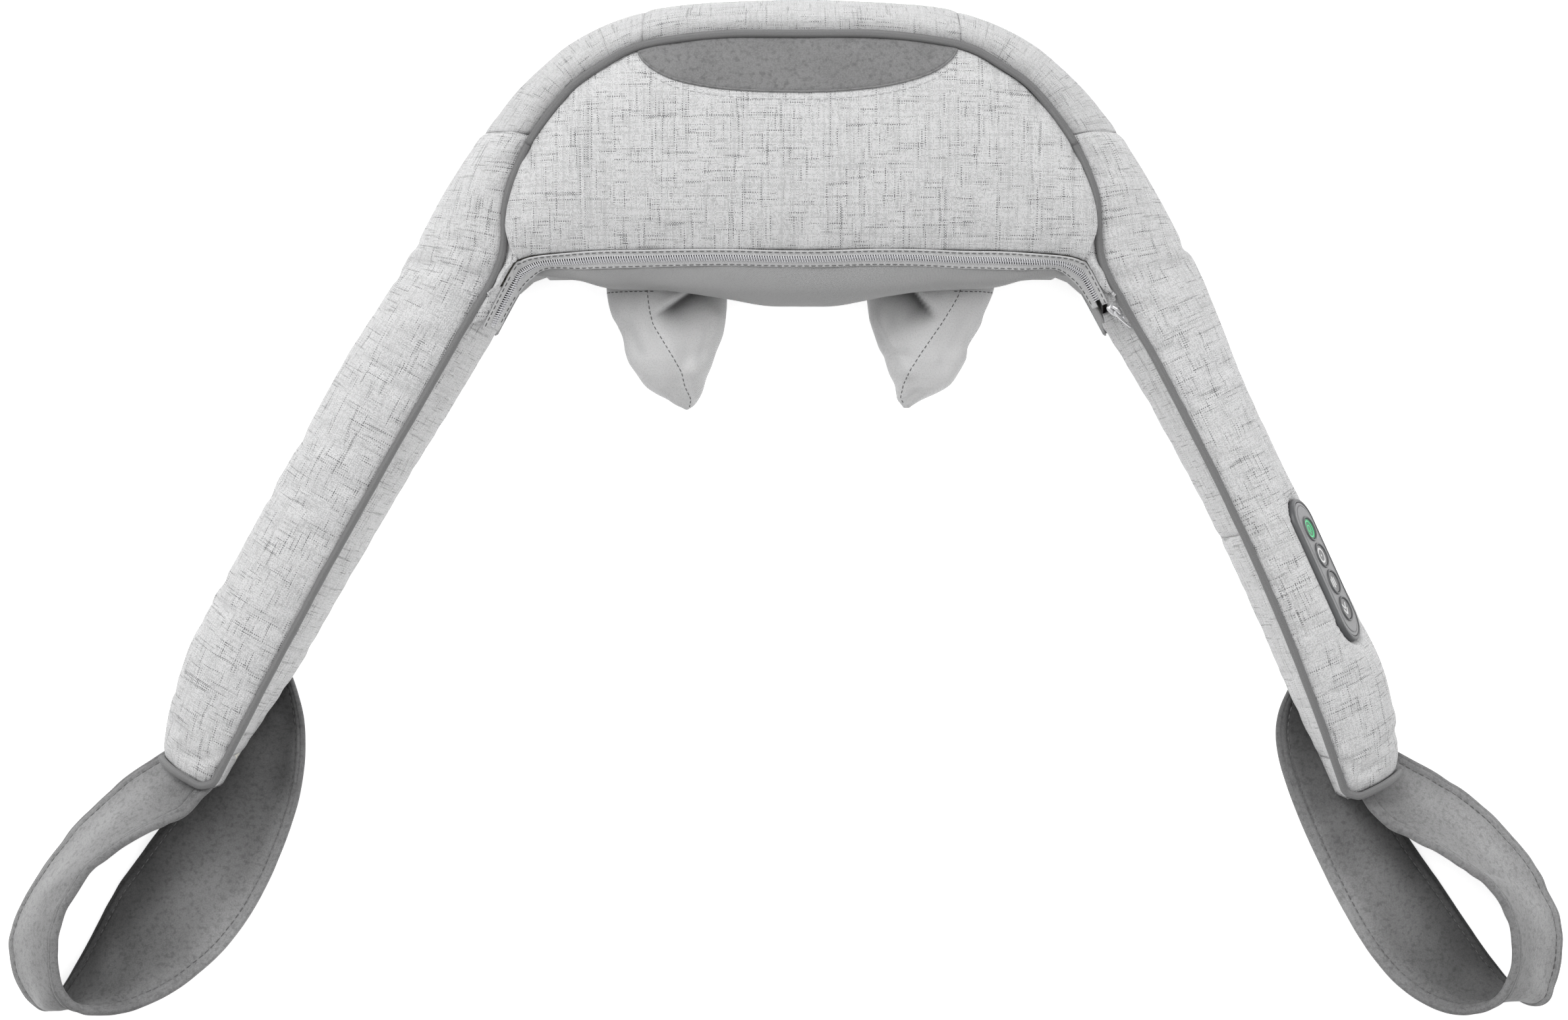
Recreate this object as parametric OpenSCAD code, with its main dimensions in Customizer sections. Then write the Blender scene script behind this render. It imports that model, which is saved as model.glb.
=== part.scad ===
// Cordless shiatsu neck massager: a padded head with two kneading hands, two padded arms
// and two hand loops.
// Frame: +Z up, +Y towards the back of the head, +X to the right, hands reach along -Y,
// origin on the flat underside of the head.

/* [Head] */
// Height of the piped ridge at the back of the head
head_height = 92; // [88:1:100]
// Thickness of the sewn cover panels
cover_thick = 2.0; // [1.5:0.1:2.2]
// Radius of the edge piping
piping_radius = 2.1; // [1.6:0.1:2.4]

/* [Arms] */
// Splay angle of the left arm from straight forward
left_splay = 29.2; // [26:0.2:31]
// Splay angle of the right arm from straight forward
right_splay = 24.4; // [22:0.2:27]
// Length of the left arm from its flex line to its tip
left_length = 271; // [262:1:276]
// Length of the right arm from its flex line to its tip
right_length = 265; // [258:1:272]

/* [Kneading drive] */
// Height of the drive shaft above the underside
shaft_z = 31; // [31:0.2:32]
// Position of the drive shaft along Y
shaft_y = -14; // [-15:0.5:-13]
// Radius of the drive shaft
shaft_radius = 4; // [3.8:0.1:4]
// Offset of each wobble bush from the shaft axis
bush_offset = 4; // [2:0.5:4]
// Tilt of each wobble bush
bush_tilt = 5; // [3:0.5:5]
// Half the distance between the two hands' hubs
hub_x = 70; // [69:0.5:71]
// Number of teeth on the worm wheel
teeth = 38; // [38:1:38]
// Gear module
gear_module = 1.0; // [1:0.1:1]

/* [Control panel] */
// Distance between neighbouring buttons
button_pitch = 15; // [14:0.5:16]
// Radius of a button
button_radius = 5.6; // [5:0.1:5.8]
// Length of the control panel
panel_length = 79; // [76:1:82]
// Width of the control panel
panel_width = 27; // [24:1:28]
// Distance of the panel's centre from the arm's flex line
panel_place = 153; // [148:1:156]

/* [Hidden] */
NODES = [
  "base_panel", "rear_band", "left_shoulder_band", "right_shoulder_band", "top_panel",
  "collar_patch", "front_lining", "head_piping", "zipper_tape", "zipper_coil",
  "zipper_slider", "zipper_pull", "top_foam_pad", "side_foam",
  "chassis_plate", "gearbox_lower_case", "gearbox_upper_case", "case_screws", "chassis_screws",
  "motor", "motor_end_cap", "motor_shaft", "worm", "worm_wheel", "drive_shaft",
  "shaft_bushings", "shaft_clips", "bearing_pillars", "guide_posts",
  "left_wobble_bush", "right_wobble_bush", "left_hand_frame", "right_hand_frame",
  "left_hub_bearing", "right_hub_bearing", "left_hand_nodes", "right_hand_nodes",
  "left_hand_sleeve", "right_hand_sleeve",
  "battery_pack", "main_board", "charging_port", "head_wiring",
  "left_arm_band", "right_arm_band", "left_arm_lining", "right_arm_lining",
  "left_arm_piping", "right_arm_piping", "left_arm_foam", "right_arm_foam",
  "left_hand_loop", "right_hand_loop", "panel_housing", "panel_fascia", "panel_board",
  "power_button", "heat_button", "knead_button", "speed_button"];
node = "all";

// Sides, as the sign of x
left = -1;
right = 1;

linen = "#cccccd";
suede = "#858585";
piping_grey = "#878787";
lining_grey = "#b6b6b6";
tape_grey = "#c9c9cb";
dark_plastic = "#3a3d40";
steel = "#b8bcc0";
white_plastic = "#e9e6dc";
bronze = "#b08d57";
foam = "#f2efe6";
circuit_green = "#1f6a43";

// ---------- curves ----------
function catmull_rom(before, start, end, after, t) = 0.5*(2*start + (end - before)*t
  + (2*before - 5*start + 4*end - after)*t*t + (3*start - before - 3*end + after)*t*t*t);
// Point on the curve through a list of points; position 1.5 is midway from points[1] to [2]
function spline(points, position) =
  let (last = len(points) - 1, at = min(max(position, 0), last), i = min(floor(at), last - 1))
  catmull_rom(
    i > 0 ? points[i-1] : 2*points[0] - points[1], points[i], points[i+1],
    i + 2 <= last ? points[i+2] : 2*points[last] - points[last-1], at - i);
function unit(vector) = vector/max(norm(vector), 1e-9);
function centroid(ring) = [for (point = ring) 1]*ring/len(ring);

// ---------- solids from point grids ----------
function quad(a, b, c, d) = [[a, b, c], [a, c, d]];
function grid_normal(grid, i, j) =
  let (last_i = len(grid) - 1, last_j = len(grid[0]) - 1)
  unit(cross(grid[min(i+1, last_i)][j] - grid[max(i-1, 0)][j],
             grid[i][min(j+1, last_j)] - grid[i][max(j-1, 0)]));
function sunk_points(grid, depth) =
  [for (i = [0:len(grid)-1], j = [0:len(grid[0])-1]) grid[i][j] - depth*grid_normal(grid, i, j)];

// Sheet that starts at a depth below the grid (above it if negative) and thickens inwards
module patch(grid, thick, depth = 0) {
  rows = len(grid);
  columns = len(grid[0]);
  under = rows*columns; // index of the first inner point
  end_row = rows - 1;
  end_column = columns - 1;
  function id(i, j) = i*columns + j;
  faces = concat(
    [for (i = [0:rows-2], j = [0:columns-2])
      each quad(id(i, j), id(i, j+1), id(i+1, j+1), id(i+1, j))],
    [for (i = [0:rows-2], j = [0:columns-2])
      each under*[[1, 1, 1], [1, 1, 1]] + quad(id(i, j), id(i+1, j), id(i+1, j+1), id(i, j+1))],
    [for (i = [0:rows-2]) each concat(
      quad(id(i, 0), id(i+1, 0), under + id(i+1, 0), under + id(i, 0)),
      quad(id(i, end_column), under + id(i, end_column),
           under + id(i+1, end_column), id(i+1, end_column)))],
    [for (j = [0:columns-2]) each concat(
      quad(id(0, j), under + id(0, j), under + id(0, j+1), id(0, j+1)),
      quad(id(end_row, j), id(end_row, j+1),
           under + id(end_row, j+1), under + id(end_row, j)))]);
  polyhedron(concat(sunk_points(grid, depth), sunk_points(grid, depth + thick)), faces,
             convexity = 6);
}

// Closed solid through rings, each a list of points in the same order
module loft(rings) {
  last = len(rings) - 1;
  sides = len(rings[0]);
  hub = len(rings)*sides; // index of the first end's centre point
  function id(i, j) = i*sides + (j % sides);
  faces = concat(
    [for (i = [0:last-1], j = [0:sides-1])
      each quad(id(i, j), id(i+1, j), id(i+1, j+1), id(i, j+1))],
    [for (j = [0:sides-1])
      each [[hub, id(0, j), id(0, j+1)], [hub + 1, id(last, j+1), id(last, j)]]]);
  polyhedron([for (ring = rings) each ring, centroid(rings[0]), centroid(rings[last])], faces,
             convexity = 6);
}

// Eight-sided tube along a path
module tube(path, radius) {
  last = len(path) - 1;
  loft([for (i = [0:last]) let (
      tangent = unit(path[min(i+1, last)] - path[max(i-1, 0)]),
      level = unit(cross(tangent, [0, 0, 1])),
      upright = cross(level, tangent))
    [for (j = [0:7]) path[i] + radius*(cos(-45*j)*level + sin(-45*j)*upright)]]);
}

// ---------- placing ----------
// Parts are drawn for the right and mirrored for the left
module on_side(side) mirror([side == left ? 1 : 0, 0, 0]) children();
module both_sides() for (side = [right, left]) on_side(side) children();
module at_grid(x_places, y_places, z) for (x = x_places, y = y_places) translate([x, y, z]) children();
module at_shaft(x) translate([x, shaft_y, shaft_z]) children();
module x_cylinder(radius, width, facets = 48)
  rotate([0, 90, 0]) cylinder(r = radius, h = width, center = true, $fn = facets);

// ---------- head rails ----------
// Lines [x, y, z] along the right half of the head, from station 0 at the centre to
// station 8 at the arm's flex line. In the loops below k is a station, negative on the left,
// and v runs across a panel from 0 to 1.
RIDGE = [[0,55,92], [41,54.5,92], [79,49.5,90], [99.5,40,87], [117,27.5,83], [137,2,77],
  [148,-24,73], [152,-56,66], [171,-88,58]];
WIDEST = [[0,78,50], [40,76.5,50], [79,72.5,50], [111,59.5,48], [130,46,46], [156,20,42],
  [180,-15,37], [198,-45,32], [212,-69,28]];
REAR_BASE = [[0,68,0], [39,66.5,0], [75,62.5,0], [103,51,0], [121,38,0], [146,12,0],
  [169,-20,0], [187,-48,0], [201,-71,0]];
ZIP_UPPER = [[0,-51.5,84], [41,-51.5,84], [82,-51.5,82], [99,-51.5,80], [115,-52,77],
  [132,-53,73], [141,-55,69], [146,-59,66], [160,-84,57]];
ZIP_LOWER = [[0,-58.5,78], [41,-58.5,78], [84,-59,76], [100,-59.3,74.5], [111,-59.3,72],
  [128,-58.5,67], [137,-63,61], [144,-70,55], [152,-82,49]];
LINING_BULGE = [[0,-78,60], [20,-77.5,60], [44,-73,60], [67,-70,60], [95,-69,60],
  [104,-65,58], [119,-62,52], [139,-66,46], [152,-82,42]];
FRONT_BASE = [[0,-52,0], [41,-52,0], [82,-52,0], [99,-52,0], [115,-52,0], [130,-54,0],
  [139,-60,0], [146,-70,0], [159,-94,0]];

function rail(line, k) = let (point = spline(line, abs(k)))
  [k < 0 ? -point.x : point.x, point.y, point.z*head_height/RIDGE[0].z];

// Rear band, from the ridge down to the base edge
function band_point(k, v) =
  let (ridge = rail(RIDGE, k), widest = rail(WIDEST, k), base = rail(REAR_BASE, k),
    drop = widest - ridge,
    crown = ridge + [0.42*drop.x, 0.42*drop.y, -0.02*drop.z],
    shoulder = ridge + [0.84*drop.x, 0.84*drop.y, 0.48*drop.z],
    lower = [widest.x*0.55 + base.x*0.45, widest.y*0.55 + base.y*0.45, widest.z*0.4])
  spline([ridge, crown, shoulder, widest, lower, base], v*5);
// Domed top, from the zip to the ridge
function top_point(k, v) = let (zip = rail(ZIP_UPPER, k))
  zip + (rail(RIDGE, k) - zip)*v + [0, 0, 7*sin(180*v)*(1 - 0.5*pow(abs(k)/8, 3))];
// Front lining, from under its bulge up to the zip
function lining_point(k, v) =
  let (zip = rail(ZIP_LOWER, k), bulge = rail(LINING_BULGE, k),
    upper = (zip + bulge)/2 + [0, -2.5, 3],
    under = [bulge.x*0.995, bulge.y + 9, bulge.z - 5])
  spline([under, bulge, upper, zip], v*3);
// Lower front lining, from the base edge up to the bulge
function lower_point(k, v) = let (bulge = rail(LINING_BULGE, k), base = rail(FRONT_BASE, k))
  [bulge.x, bulge.y*0.35 + base.y*0.65 + 1, bulge.z - 6]*v
  + (base + [0, 0, 3])*(1 - v) + [0, -4*sin(180*v), 0];
function zip_point(k, v) = let (upper = rail(ZIP_UPPER, k)) upper + (rail(ZIP_LOWER, k) - upper)*v;

// ---------- head soft parts ----------
port_at = [49.8, 72.9, 16.3]; // corner of the charging port's flange
port_flange = [16.4, 1.4, 11.4];
port_gap = 0.4;
collar_edge = 0.965; // rear edge of the collar patch across the top

module base_panel() color(linen) linear_extrude(cover_thick)
  polygon(concat(
    [for (k = [-7.8:0.65:7.81]) let (edge = rail(REAR_BASE, k)) [edge.x*0.985, edge.y - 1.2]],
    [for (k = [7.8:-0.65:-7.81]) let (edge = rail(FRONT_BASE, k)) [edge.x*0.99, edge.y + 1.2]]));

module band_patch(stations)
  patch([for (k = stations) [for (v = [0.04:0.115:0.961]) band_point(k, v)]], cover_thick);

module rear_band() color(linen) difference() {
  band_patch([-2:0.5:2]);
  translate([port_at.x - port_gap, 55, port_at.z - port_gap])
    cube([port_flange.x + 2*port_gap, 30, port_flange.z + 2*port_gap]);
}

module shoulder_band(side) color(linen) on_side(side) band_patch([2.03:0.59:7.94]);

module top_panel() color(linen)
  patch([for (k = [-7.4:0.74:7.41]) [for (v = [0.01:0.14:0.86]) top_point(k, v)]], cover_thick);

// The front edge of the patch curves forward in the middle
module collar_patch() color(suede)
  patch([for (k = [-1.95:0.39:1.96])
    let (depth = 0.255*pow(max(0, 1 - pow(abs(k)/2, 2.6)), 0.5))
    [for (v = [0:0.25:1]) top_point(k, collar_edge - depth*(1 - v))]], 0.8, -0.9);

module top_foam_pad() color(foam)
  patch([for (k = [-5.2:0.8667:5.21]) [for (v = [0.06:0.164:0.881]) top_point(k, v)]],
        5, cover_thick + 0.6);

module lower_lining(stations)
  patch([for (k = stations) [for (v = [0.02:0.155:0.96]) lower_point(k, v)]], 1.4);

// The lower part is left open where the hands come through
module front_lining() color(lining_grey) {
  patch([for (k = [-7.4:0.617:7.41]) [for (v = [0:0.2:0.981]) lining_point(k, v)]], 1.4);
  lower_lining([-1.1:0.44:1.11]);
  both_sides() lower_lining([5.3:0.4:7.31]);
}

module head_piping() color(piping_grey)
  tube([for (k = [-7.9:0.395:7.91]) rail(RIDGE, k)
    + (abs(k) > 5.6 ? [sign(k)*1.7, 1.1, 3.5] : [sign(k)*0.4, 0.9, 2.6])], piping_radius);

module zipper_tape() color(tape_grey)
  for (strip = [[0.02, 0.2, 0.36], [0.64, 0.8, 0.98]])
    patch([for (k = [-7.6:0.4:7.61]) [for (v = strip) zip_point(k, v)]], 0.6, -0.9);

module zipper_coil() color(tape_grey)
  patch([for (k = [-7.5:0.375:7.26]) [for (v = [0.38, 0.5, 0.62]) zip_point(k, v)]], 1.5, -0.6);

// The slider sits at the right-hand end of the zip, in a frame with x along the zip
pull_pin_z = 3.7;
module at_slider() translate([158.6, -79.2, 54.4])
  rotate([0, 0, -42]) rotate([0, 22, 0]) rotate([-12, 0, 0]) children();

module zipper_slider() color(steel) at_slider() difference() {
  union() {
    translate([-4.2, -2.7, 0.2]) cube([8.4, 5.4, 2.0]);
    translate([-3.2, -0.9, 2.1]) cube([6.4, 1.8, 3.1]);
  }
  translate([0, 3, pull_pin_z]) rotate([90, 0, 0]) cylinder(r = 1.0, h = 6, $fn = 24);
}

// Cross pin and a tapered tab with two windows
module zipper_pull() color(steel) at_slider() translate([0, 0, pull_pin_z]) {
  rotate([90, 0, 0]) translate([0, 0, -1.9]) cylinder(r = 0.8, h = 3.8, $fn = 24);
  difference() {
    translate([0, 0, -0.7]) linear_extrude(1.4)
      polygon([[-0.7, -2.2], [4.2, -2.2], [12.2, -1.4], [12.9, -0.8],
               [12.9, 0.8], [12.2, 1.4], [4.2, 2.2], [-0.7, 2.2]]);
    translate([-1.5, -1.15, -1]) cube([5.0, 2.3, 2.2]);
    translate([10.2, -0.7, -1]) cube([1.8, 1.4, 2.2]);
  }
}

module side_foam() color(foam) both_sides()
  loft([for (k = [5.0:0.55:7.21]) let (
      ridge = rail(RIDGE, k), widest = rail(WIDEST, k),
      bulge = rail(LINING_BULGE, k), base = rail(REAR_BASE, k),
      out = unit([widest.x - bulge.x, widest.y - bulge.y, 0]))
    [[bulge.x, bulge.y, 14] + 11*out, [base.x, base.y, 14] - 7*out,
     widest - 7*out, [widest.x, widest.y, 0.72*ridge.z] - 14*out,
     [ridge.x, ridge.y, 0.80*ridge.z] - 3*out, [bulge.x, bulge.y, 0.58*ridge.z] + 11*out]]);

// ---------- chassis ----------
board_at = [40, 16, 29.1]; // lower corner of the main board
board_size = [56, 30, 1.6];
board_top = board_at.z + board_size.z;
post_inset = 4; // board posts from the board's edges
module at_board_posts(z) at_grid(
  [board_at.x + post_inset, board_at.x + board_size.x - post_inset],
  [board_at.y + post_inset, board_at.y + board_size.y - post_inset], z) children();
module at_chassis_screws(z) at_grid([-26, 26], [-34, 42], z) children();

module chassis_plate() color(dark_plastic) difference() {
  union() {
    translate([-100, -44, 4]) cube([200, 94, 3]);
    // Upright tabs beside the battery cells
    translate([-99, 18, 6]) cube([3, 22, 9]);
    translate([-90, 40.5, 6]) cube([50, 3, 8]);
    at_board_posts(6) cylinder(r = 3, h = 23, $fn = 32);
  }
  at_grid([-62, -78, 62, 78], [-38], 3) cylinder(r = 3, h = 5, $fn = 32);
  at_board_posts(12) cylinder(r = 1.1, h = 20, $fn = 24);
  at_chassis_screws(3) cylinder(r = 1.7, h = 6, $fn = 24);
}

module chassis_screws() color(steel) {
  at_chassis_screws(2.1) cylinder(r = 3, h = 1.8, $fn = 32);
  at_chassis_screws(3.8) cylinder(r = 1.4, h = 5.5, $fn = 24);
}

// ---------- gearbox ----------
wheel_radius = gear_module*teeth/2; // pitch radius
worm_z = shaft_z + wheel_radius + 6; // the worm's pitch radius is 6
case_half_width = 30;
case_front = -38;
case_rear = 56;
case_wall = 2.6;
case_floor = 7.2;
case_top = worm_z + 19;
split_gap = 0.1; // each half stops this far from the split at shaft height
ear_height = 6; // screw ears on the upper half
bushing_width = 6;
case_bushing_x = case_half_width - bushing_width/2;
ear_y = [-30, 46];

module case_block(bottom, top, inset = 0)
  translate([-case_half_width + inset, case_front + inset, bottom])
    cube([2*(case_half_width - inset), case_rear - case_front - 2*inset, top - bottom]);
module case_ears(bottom, height)
  at_grid([-case_half_width - 6, case_half_width - 2], [for (y = ear_y) y - 4], bottom)
    cube([8, 8, height]);
module at_case_screws(z)
  at_grid([-case_half_width - 3, case_half_width + 3], ear_y, z) children();
module case_bores()
  for (side = [left, right]) at_shaft(side*case_bushing_x) x_cylinder(7, 8);
// Frame on the motor axis whose z runs forward, along -Y
module at_motor_axis(y) translate([0, y, worm_z]) rotate([90, 0, 0]) children();

module gearbox_lower_case() color("#2f3235") difference() {
  union() {
    case_block(case_floor, shaft_z - split_gap);
    case_ears(case_floor, shaft_z - split_gap - case_floor);
  }
  case_block(case_floor + case_wall, case_floor + case_wall + 60, case_wall);
  case_bores();
  at_case_screws(12) cylinder(r = 1.3, h = 60, $fn = 24);
  at_chassis_screws(5) cylinder(r = 1.7, h = 6, $fn = 24);
}

module gearbox_upper_case() color("#34373a") difference() {
  union() {
    case_block(shaft_z + split_gap, case_top);
    case_ears(shaft_z + split_gap, ear_height);
  }
  // The cavity leaves a cross wall in front of the motor
  difference() {
    case_block(shaft_z - 10, case_top - case_wall, case_wall);
    translate([-case_half_width, 6.4, worm_z - 8]) cube([2*case_half_width, 3.4, 40]);
  }
  at_motor_axis(12) cylinder(r = 5.05, h = 8, $fn = 48);
  case_bores();
  at_case_screws(shaft_z - 5) cylinder(r = 1.7, h = 40, $fn = 24);
  at_motor_axis(case_rear + 1) cylinder(r = 14, h = 5, $fn = 48);
}

module case_screws() color(steel) {
  at_case_screws(shaft_z + ear_height + 0.15) cylinder(r = 2.8, h = 2, $fn = 32);
  at_case_screws(14) cylinder(r = 1.25, h = shaft_z - 7.8, $fn = 24);
}

module motor() color(steel) difference() {
  union() {
    at_motor_axis(48) cylinder(r = 16, h = 38, $fn = 64);
    at_motor_axis(10.05) cylinder(r = 5, h = 2, $fn = 48);
  }
  at_motor_axis(40) cylinder(r = 1.7, h = 36, $fn = 32);
}

module motor_end_cap() color("#26282a") {
  at_motor_axis(51.5) cylinder(r = 13.4, h = 3.4, $fn = 64);
  for (x = [-7, 7]) translate([x - 1.2, 51.4, worm_z - 0.3]) cube([2.4, 4, 0.6]);
}

module motor_shaft() color(steel) at_motor_axis(38) cylinder(r = 1.55, h = 66, $fn = 32);

// Right-hand, single-start worm above the drive shaft
worm_lead = PI*gear_module;
// Thread section: [radius, place along the worm]
thread_section = [[4.4, 1.0], [7.0, 0.22], [7.0, -0.22], [4.4, -1.0]];
module worm() color(white_plastic) difference() {
  union() {
    at_motor_axis(shaft_y + 13) cylinder(r = 4.75, h = 26, $fn = 48);
    loft([for (angle = [-1260:22.5:1260]) [for (corner = thread_section)
      [corner[0]*sin(angle), shaft_y + worm_lead*angle/360 + corner[1],
       worm_z + corner[0]*cos(angle)]]]);
  }
  at_motor_axis(shaft_y + 20) cylinder(r = 1.6, h = 40, $fn = 32);
}

// Tooth section: [height above the pitch circle, half-thickness either side], with clearance
tooth_section = [[-1.8, 1.0], [-1, 0.98], [0.9, 0.2], [0.9, -0.2], [-1, -0.98], [-1.8, -1.0]];
wheel_width = 7;
lead_angle = 4.76;
module worm_wheel() color(white_plastic) at_shaft(0) difference() {
  union() {
    x_cylinder(wheel_radius - 1.2, wheel_width, 96);
    x_cylinder(9, 16);
    for (i = [0:teeth-1])
      rotate([i*360/teeth, 0, 0]) rotate([0, 0, -lead_angle]) rotate([0, 90, 0])
        linear_extrude(wheel_width, center = true)
          polygon([for (corner = tooth_section)
            [-(wheel_radius + corner[0] - 0.05), corner[1]*0.98]]);
  }
  x_cylinder(shaft_radius + 0.02, 40);
  for (i = [0:5]) rotate([i*60, 0, 0]) translate([0, 0, 13.2]) x_cylinder(2.6, 20, 32);
}

// ---------- drive shaft and its supports ----------
pillar_x = 91;
guide_rise = 28; // guide posts above the shaft

module drive_shaft() color(steel) at_shaft(0) x_cylinder(shaft_radius, 198);

module shaft_bushings() color(bronze)
  for (x = [-pillar_x, -case_bushing_x, case_bushing_x, pillar_x]) at_shaft(x) difference() {
    x_cylinder(6.97, bushing_width);
    x_cylinder(shaft_radius + 0.05, 10);
  }

module shaft_clips() color(steel) for (x = [-95.5, -36, 36, 95.5]) at_shaft(x) difference() {
  x_cylinder(6.2, 0.9);
  x_cylinder(shaft_radius + 0.02, 4);
}

module bearing_pillars() color(dark_plastic) both_sides() difference() {
  union() {
    translate([pillar_x - 3, shaft_y - 13, 7.1]) cube([6, 26, 24]);
    at_shaft(pillar_x) x_cylinder(12, 6, 64);
    translate([pillar_x - 3, shaft_y - 6, shaft_z]) cube([6, 12, 34]);
    translate([pillar_x - 8, shaft_y - 13, 7.1]) cube([12, 26, 2.5]);
  }
  at_shaft(pillar_x) x_cylinder(7, 20, 64);
  at_shaft(pillar_x) translate([0, 0, guide_rise]) x_cylinder(2.05, 20, 32);
}

module guide_posts() color(steel) both_sides() translate([0, 0, guide_rise]) {
  at_shaft(77) x_cylinder(2, 34, 32);
  at_shaft(63) x_cylinder(3, 6, 32);
}

// ---------- kneading hands, drawn in the right hub's own frame ----------
finger_x = -4.5;
finger_z = 7.4; // the two fingers lie this far above and below the hub's centre

module at_hub(side) on_side(side)
  translate([hub_x, shaft_y - bush_offset, shaft_z]) rotate([0, 0, -bush_tilt]) children();

module wobble_bush(side) color(white_plastic) difference() {
  at_hub(side) {
    x_cylinder(12, 14.4, 64);
    for (x = [-8.2, 8.2]) translate([x, 0, 0]) x_cylinder(14.6, 2, 64);
  }
  at_shaft(0) x_cylinder(shaft_radius + 0.02, 220);
}

module hub_bearing(side) color(bronze) at_hub(side) difference() {
  x_cylinder(14, 13.6, 64);
  x_cylinder(12.05, 20, 64);
}

// Plate with a [y, z] outline, width measured along +X
module yz_plate(x, width, outline)
  translate([x, 0, 0]) rotate([90, 0, 90]) linear_extrude(width) polygon(outline);

module hand_frame(side) color("#4a4d50") at_hub(side) difference() {
  union() {
    x_cylinder(17.6, 13);
    translate([0, 0, guide_rise]) x_cylinder(11.4, 6);
    translate([-3, -8, 10]) cube([6, 16, 12]);
    yz_plate(-5, 8, [[-12, 10], [-12, -10], [-60, -13], [-60, 13]]);
    for (z = [-1, 1]) {
      yz_plate(-5, 5, [[-58, z*1.5], [-58, z*12.6], [-62, z*12.3], [-62, z*1.9]]);
      yz_plate(-7, 7, [[-60.4, z*1.7], [-60.4, z*12.5], [-83.4, z*11], [-83.4, z*3.8]]);
      translate([finger_x, -83, z*finger_z]) rotate([90, 0, 0]) cylinder(r = 3, h = 7, $fn = 32);
    }
  }
  x_cylinder(14.02, 40);
  translate([0, 0, guide_rise]) x_cylinder(8.2, 40);
}

// Two fingertip balls and a domed node on either face of the palm
module hand_nodes(side) color("#d9d4cc") at_hub(side) {
  for (z = [-finger_z, finger_z]) difference() {
    translate([finger_x, -90.6, z]) sphere(r = 7.1, $fn = 40);
    translate([finger_x, -80, z]) rotate([90, 0, 0]) cylinder(r = 3.03, h = 10.1, $fn = 32);
  }
  difference() {
    translate([3, -47, 0]) sphere(r = 13, $fn = 48);
    translate([-37, -67, -20]) cube([40.03, 40, 40]);
  }
  difference() {
    translate([-5, -47, 0]) sphere(r = 13, $fn = 48);
    translate([-5.03, -67, -20]) cube([40, 40, 40]);
  }
}

// Sleeve stations: [y, centre x, half width, half height]
SLEEVE = [[-43, 0.5, 29, 16.5], [-52, 0.5, 28.5, 16.8], [-62, 0, 27.5, 17],
  [-74, -1.5, 24.5, 17], [-86, -4, 19, 17], [-96, -7, 14.5, 16.5],
  [-103, -9, 10.5, 13.5], [-108, -10, 6, 8]];
sleeve_thick = 1.4;
function rounded(value) = sign(value)*pow(abs(value), 0.8);
function sleeve_ring(k, inset, y_shift) = let (section = spline(SLEEVE, k))
  [for (j = [0:19]) let (angle = 360*j/20)
    [section[1] + (section[2] - inset)*rounded(cos(angle)), section[0] + y_shift,
     (section[3] - inset)*rounded(sin(angle))]];

// The hollow runs out through the open rear end and stops short of the tip
module hand_sleeve(side) color(lining_grey) at_hub(side) difference() {
  loft([for (k = [0:0.7:7]) sleeve_ring(k, 0, 0)]);
  loft([for (k = [0:0.7:7])
    sleeve_ring(k, sleeve_thick, k == 0 ? 3 : k > 6.5 ? sleeve_thick : 0)]);
}

// ---------- electrics ----------
module battery_pack() color("#3f6fa8")
  for (cell = [[-93, 28.5, 16.6], [-93, 30, 35.4]])
    translate(cell) rotate([0, 90, 0]) cylinder(r = 9.2, h = 57, $fn = 48);

module main_board() color(circuit_green) {
  difference() {
    translate(board_at) cube(board_size);
    at_board_posts(28) cylinder(r = 1.4, h = 4, $fn = 24);
  }
  translate([52, 24, board_top]) cube([10, 10, 1.4]);
  translate([70, 22, board_top]) cube([8, 8, 2]);
  at_grid([68, 80], [38], board_top) cylinder(r = 3.2, h = 8, $fn = 32);
  translate([48, 38, board_top]) cube([9, 5, 5]);
}

module charging_port() color("#2b2d2f") difference() {
  union() {
    translate([52, 56, 18.5]) cube([12, 18, 7]);
    translate(port_at) cube(port_flange);
    translate([50, 44.5, 7.05]) cube([16, 18, 11.6]);
  }
  translate([53.4, 60, 20.3]) cube([9.2, 20, 3.4]);
}

// One cable from the board to the right arm, one from the motor to the board
arm_cable = [[58, 40, 36.2], [75, 34, 48], [108, 10, 30], [128, -20, 10.5], [150, -66, 9]];
motor_cable = [[-7, 56.6, worm_z], [8, 59.5, 58], [34, 58, 44], [50, 49, 35]];
module head_wiring() color("#b03a2e") {
  tube([for (k = [0:0.5:4]) spline(arm_cable, k)], 1.6);
  tube([for (k = [0:0.5:3]) spline(motor_cable, k)], 1.0);
}

// ---------- arms ----------
// Stations: [distance from the flex line, outer width, inner width, ridge height, underside z]
LEFT_ARM = [[2, 46, 9, 57.5, 0], [34, 48, 9.5, 53, 0], [70, 48, 8.5, 49.5, 0],
  [108, 47.5, 8, 47, 0], [146, 47, 7.5, 45, 0], [184, 47.5, 7, 43.5, 1.5],
  [217, 47, 6.5, 42.5, 6], [246, 41.5, 5.5, 41, 8], [271, 33.5, 4, 38.5, 11]];
RIGHT_ARM = [[2, 44, 8, 58, 0], [34, 40, 6.5, 57.5, 0], [70, 37.5, 6, 57, 0],
  [108, 37, 5, 56, 0], [146, 38.5, 4.5, 55, 0], [184, 42, 4, 53, 1.5],
  [217, 44, 3.5, 50, 6], [246, 41, 3.5, 46, 8], [271, 34, 3, 40, 11]];
table_start = LEFT_ARM[0][0];
table_span = LEFT_ARM[8][0] - table_start; // stretched to suit each arm's length
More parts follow.
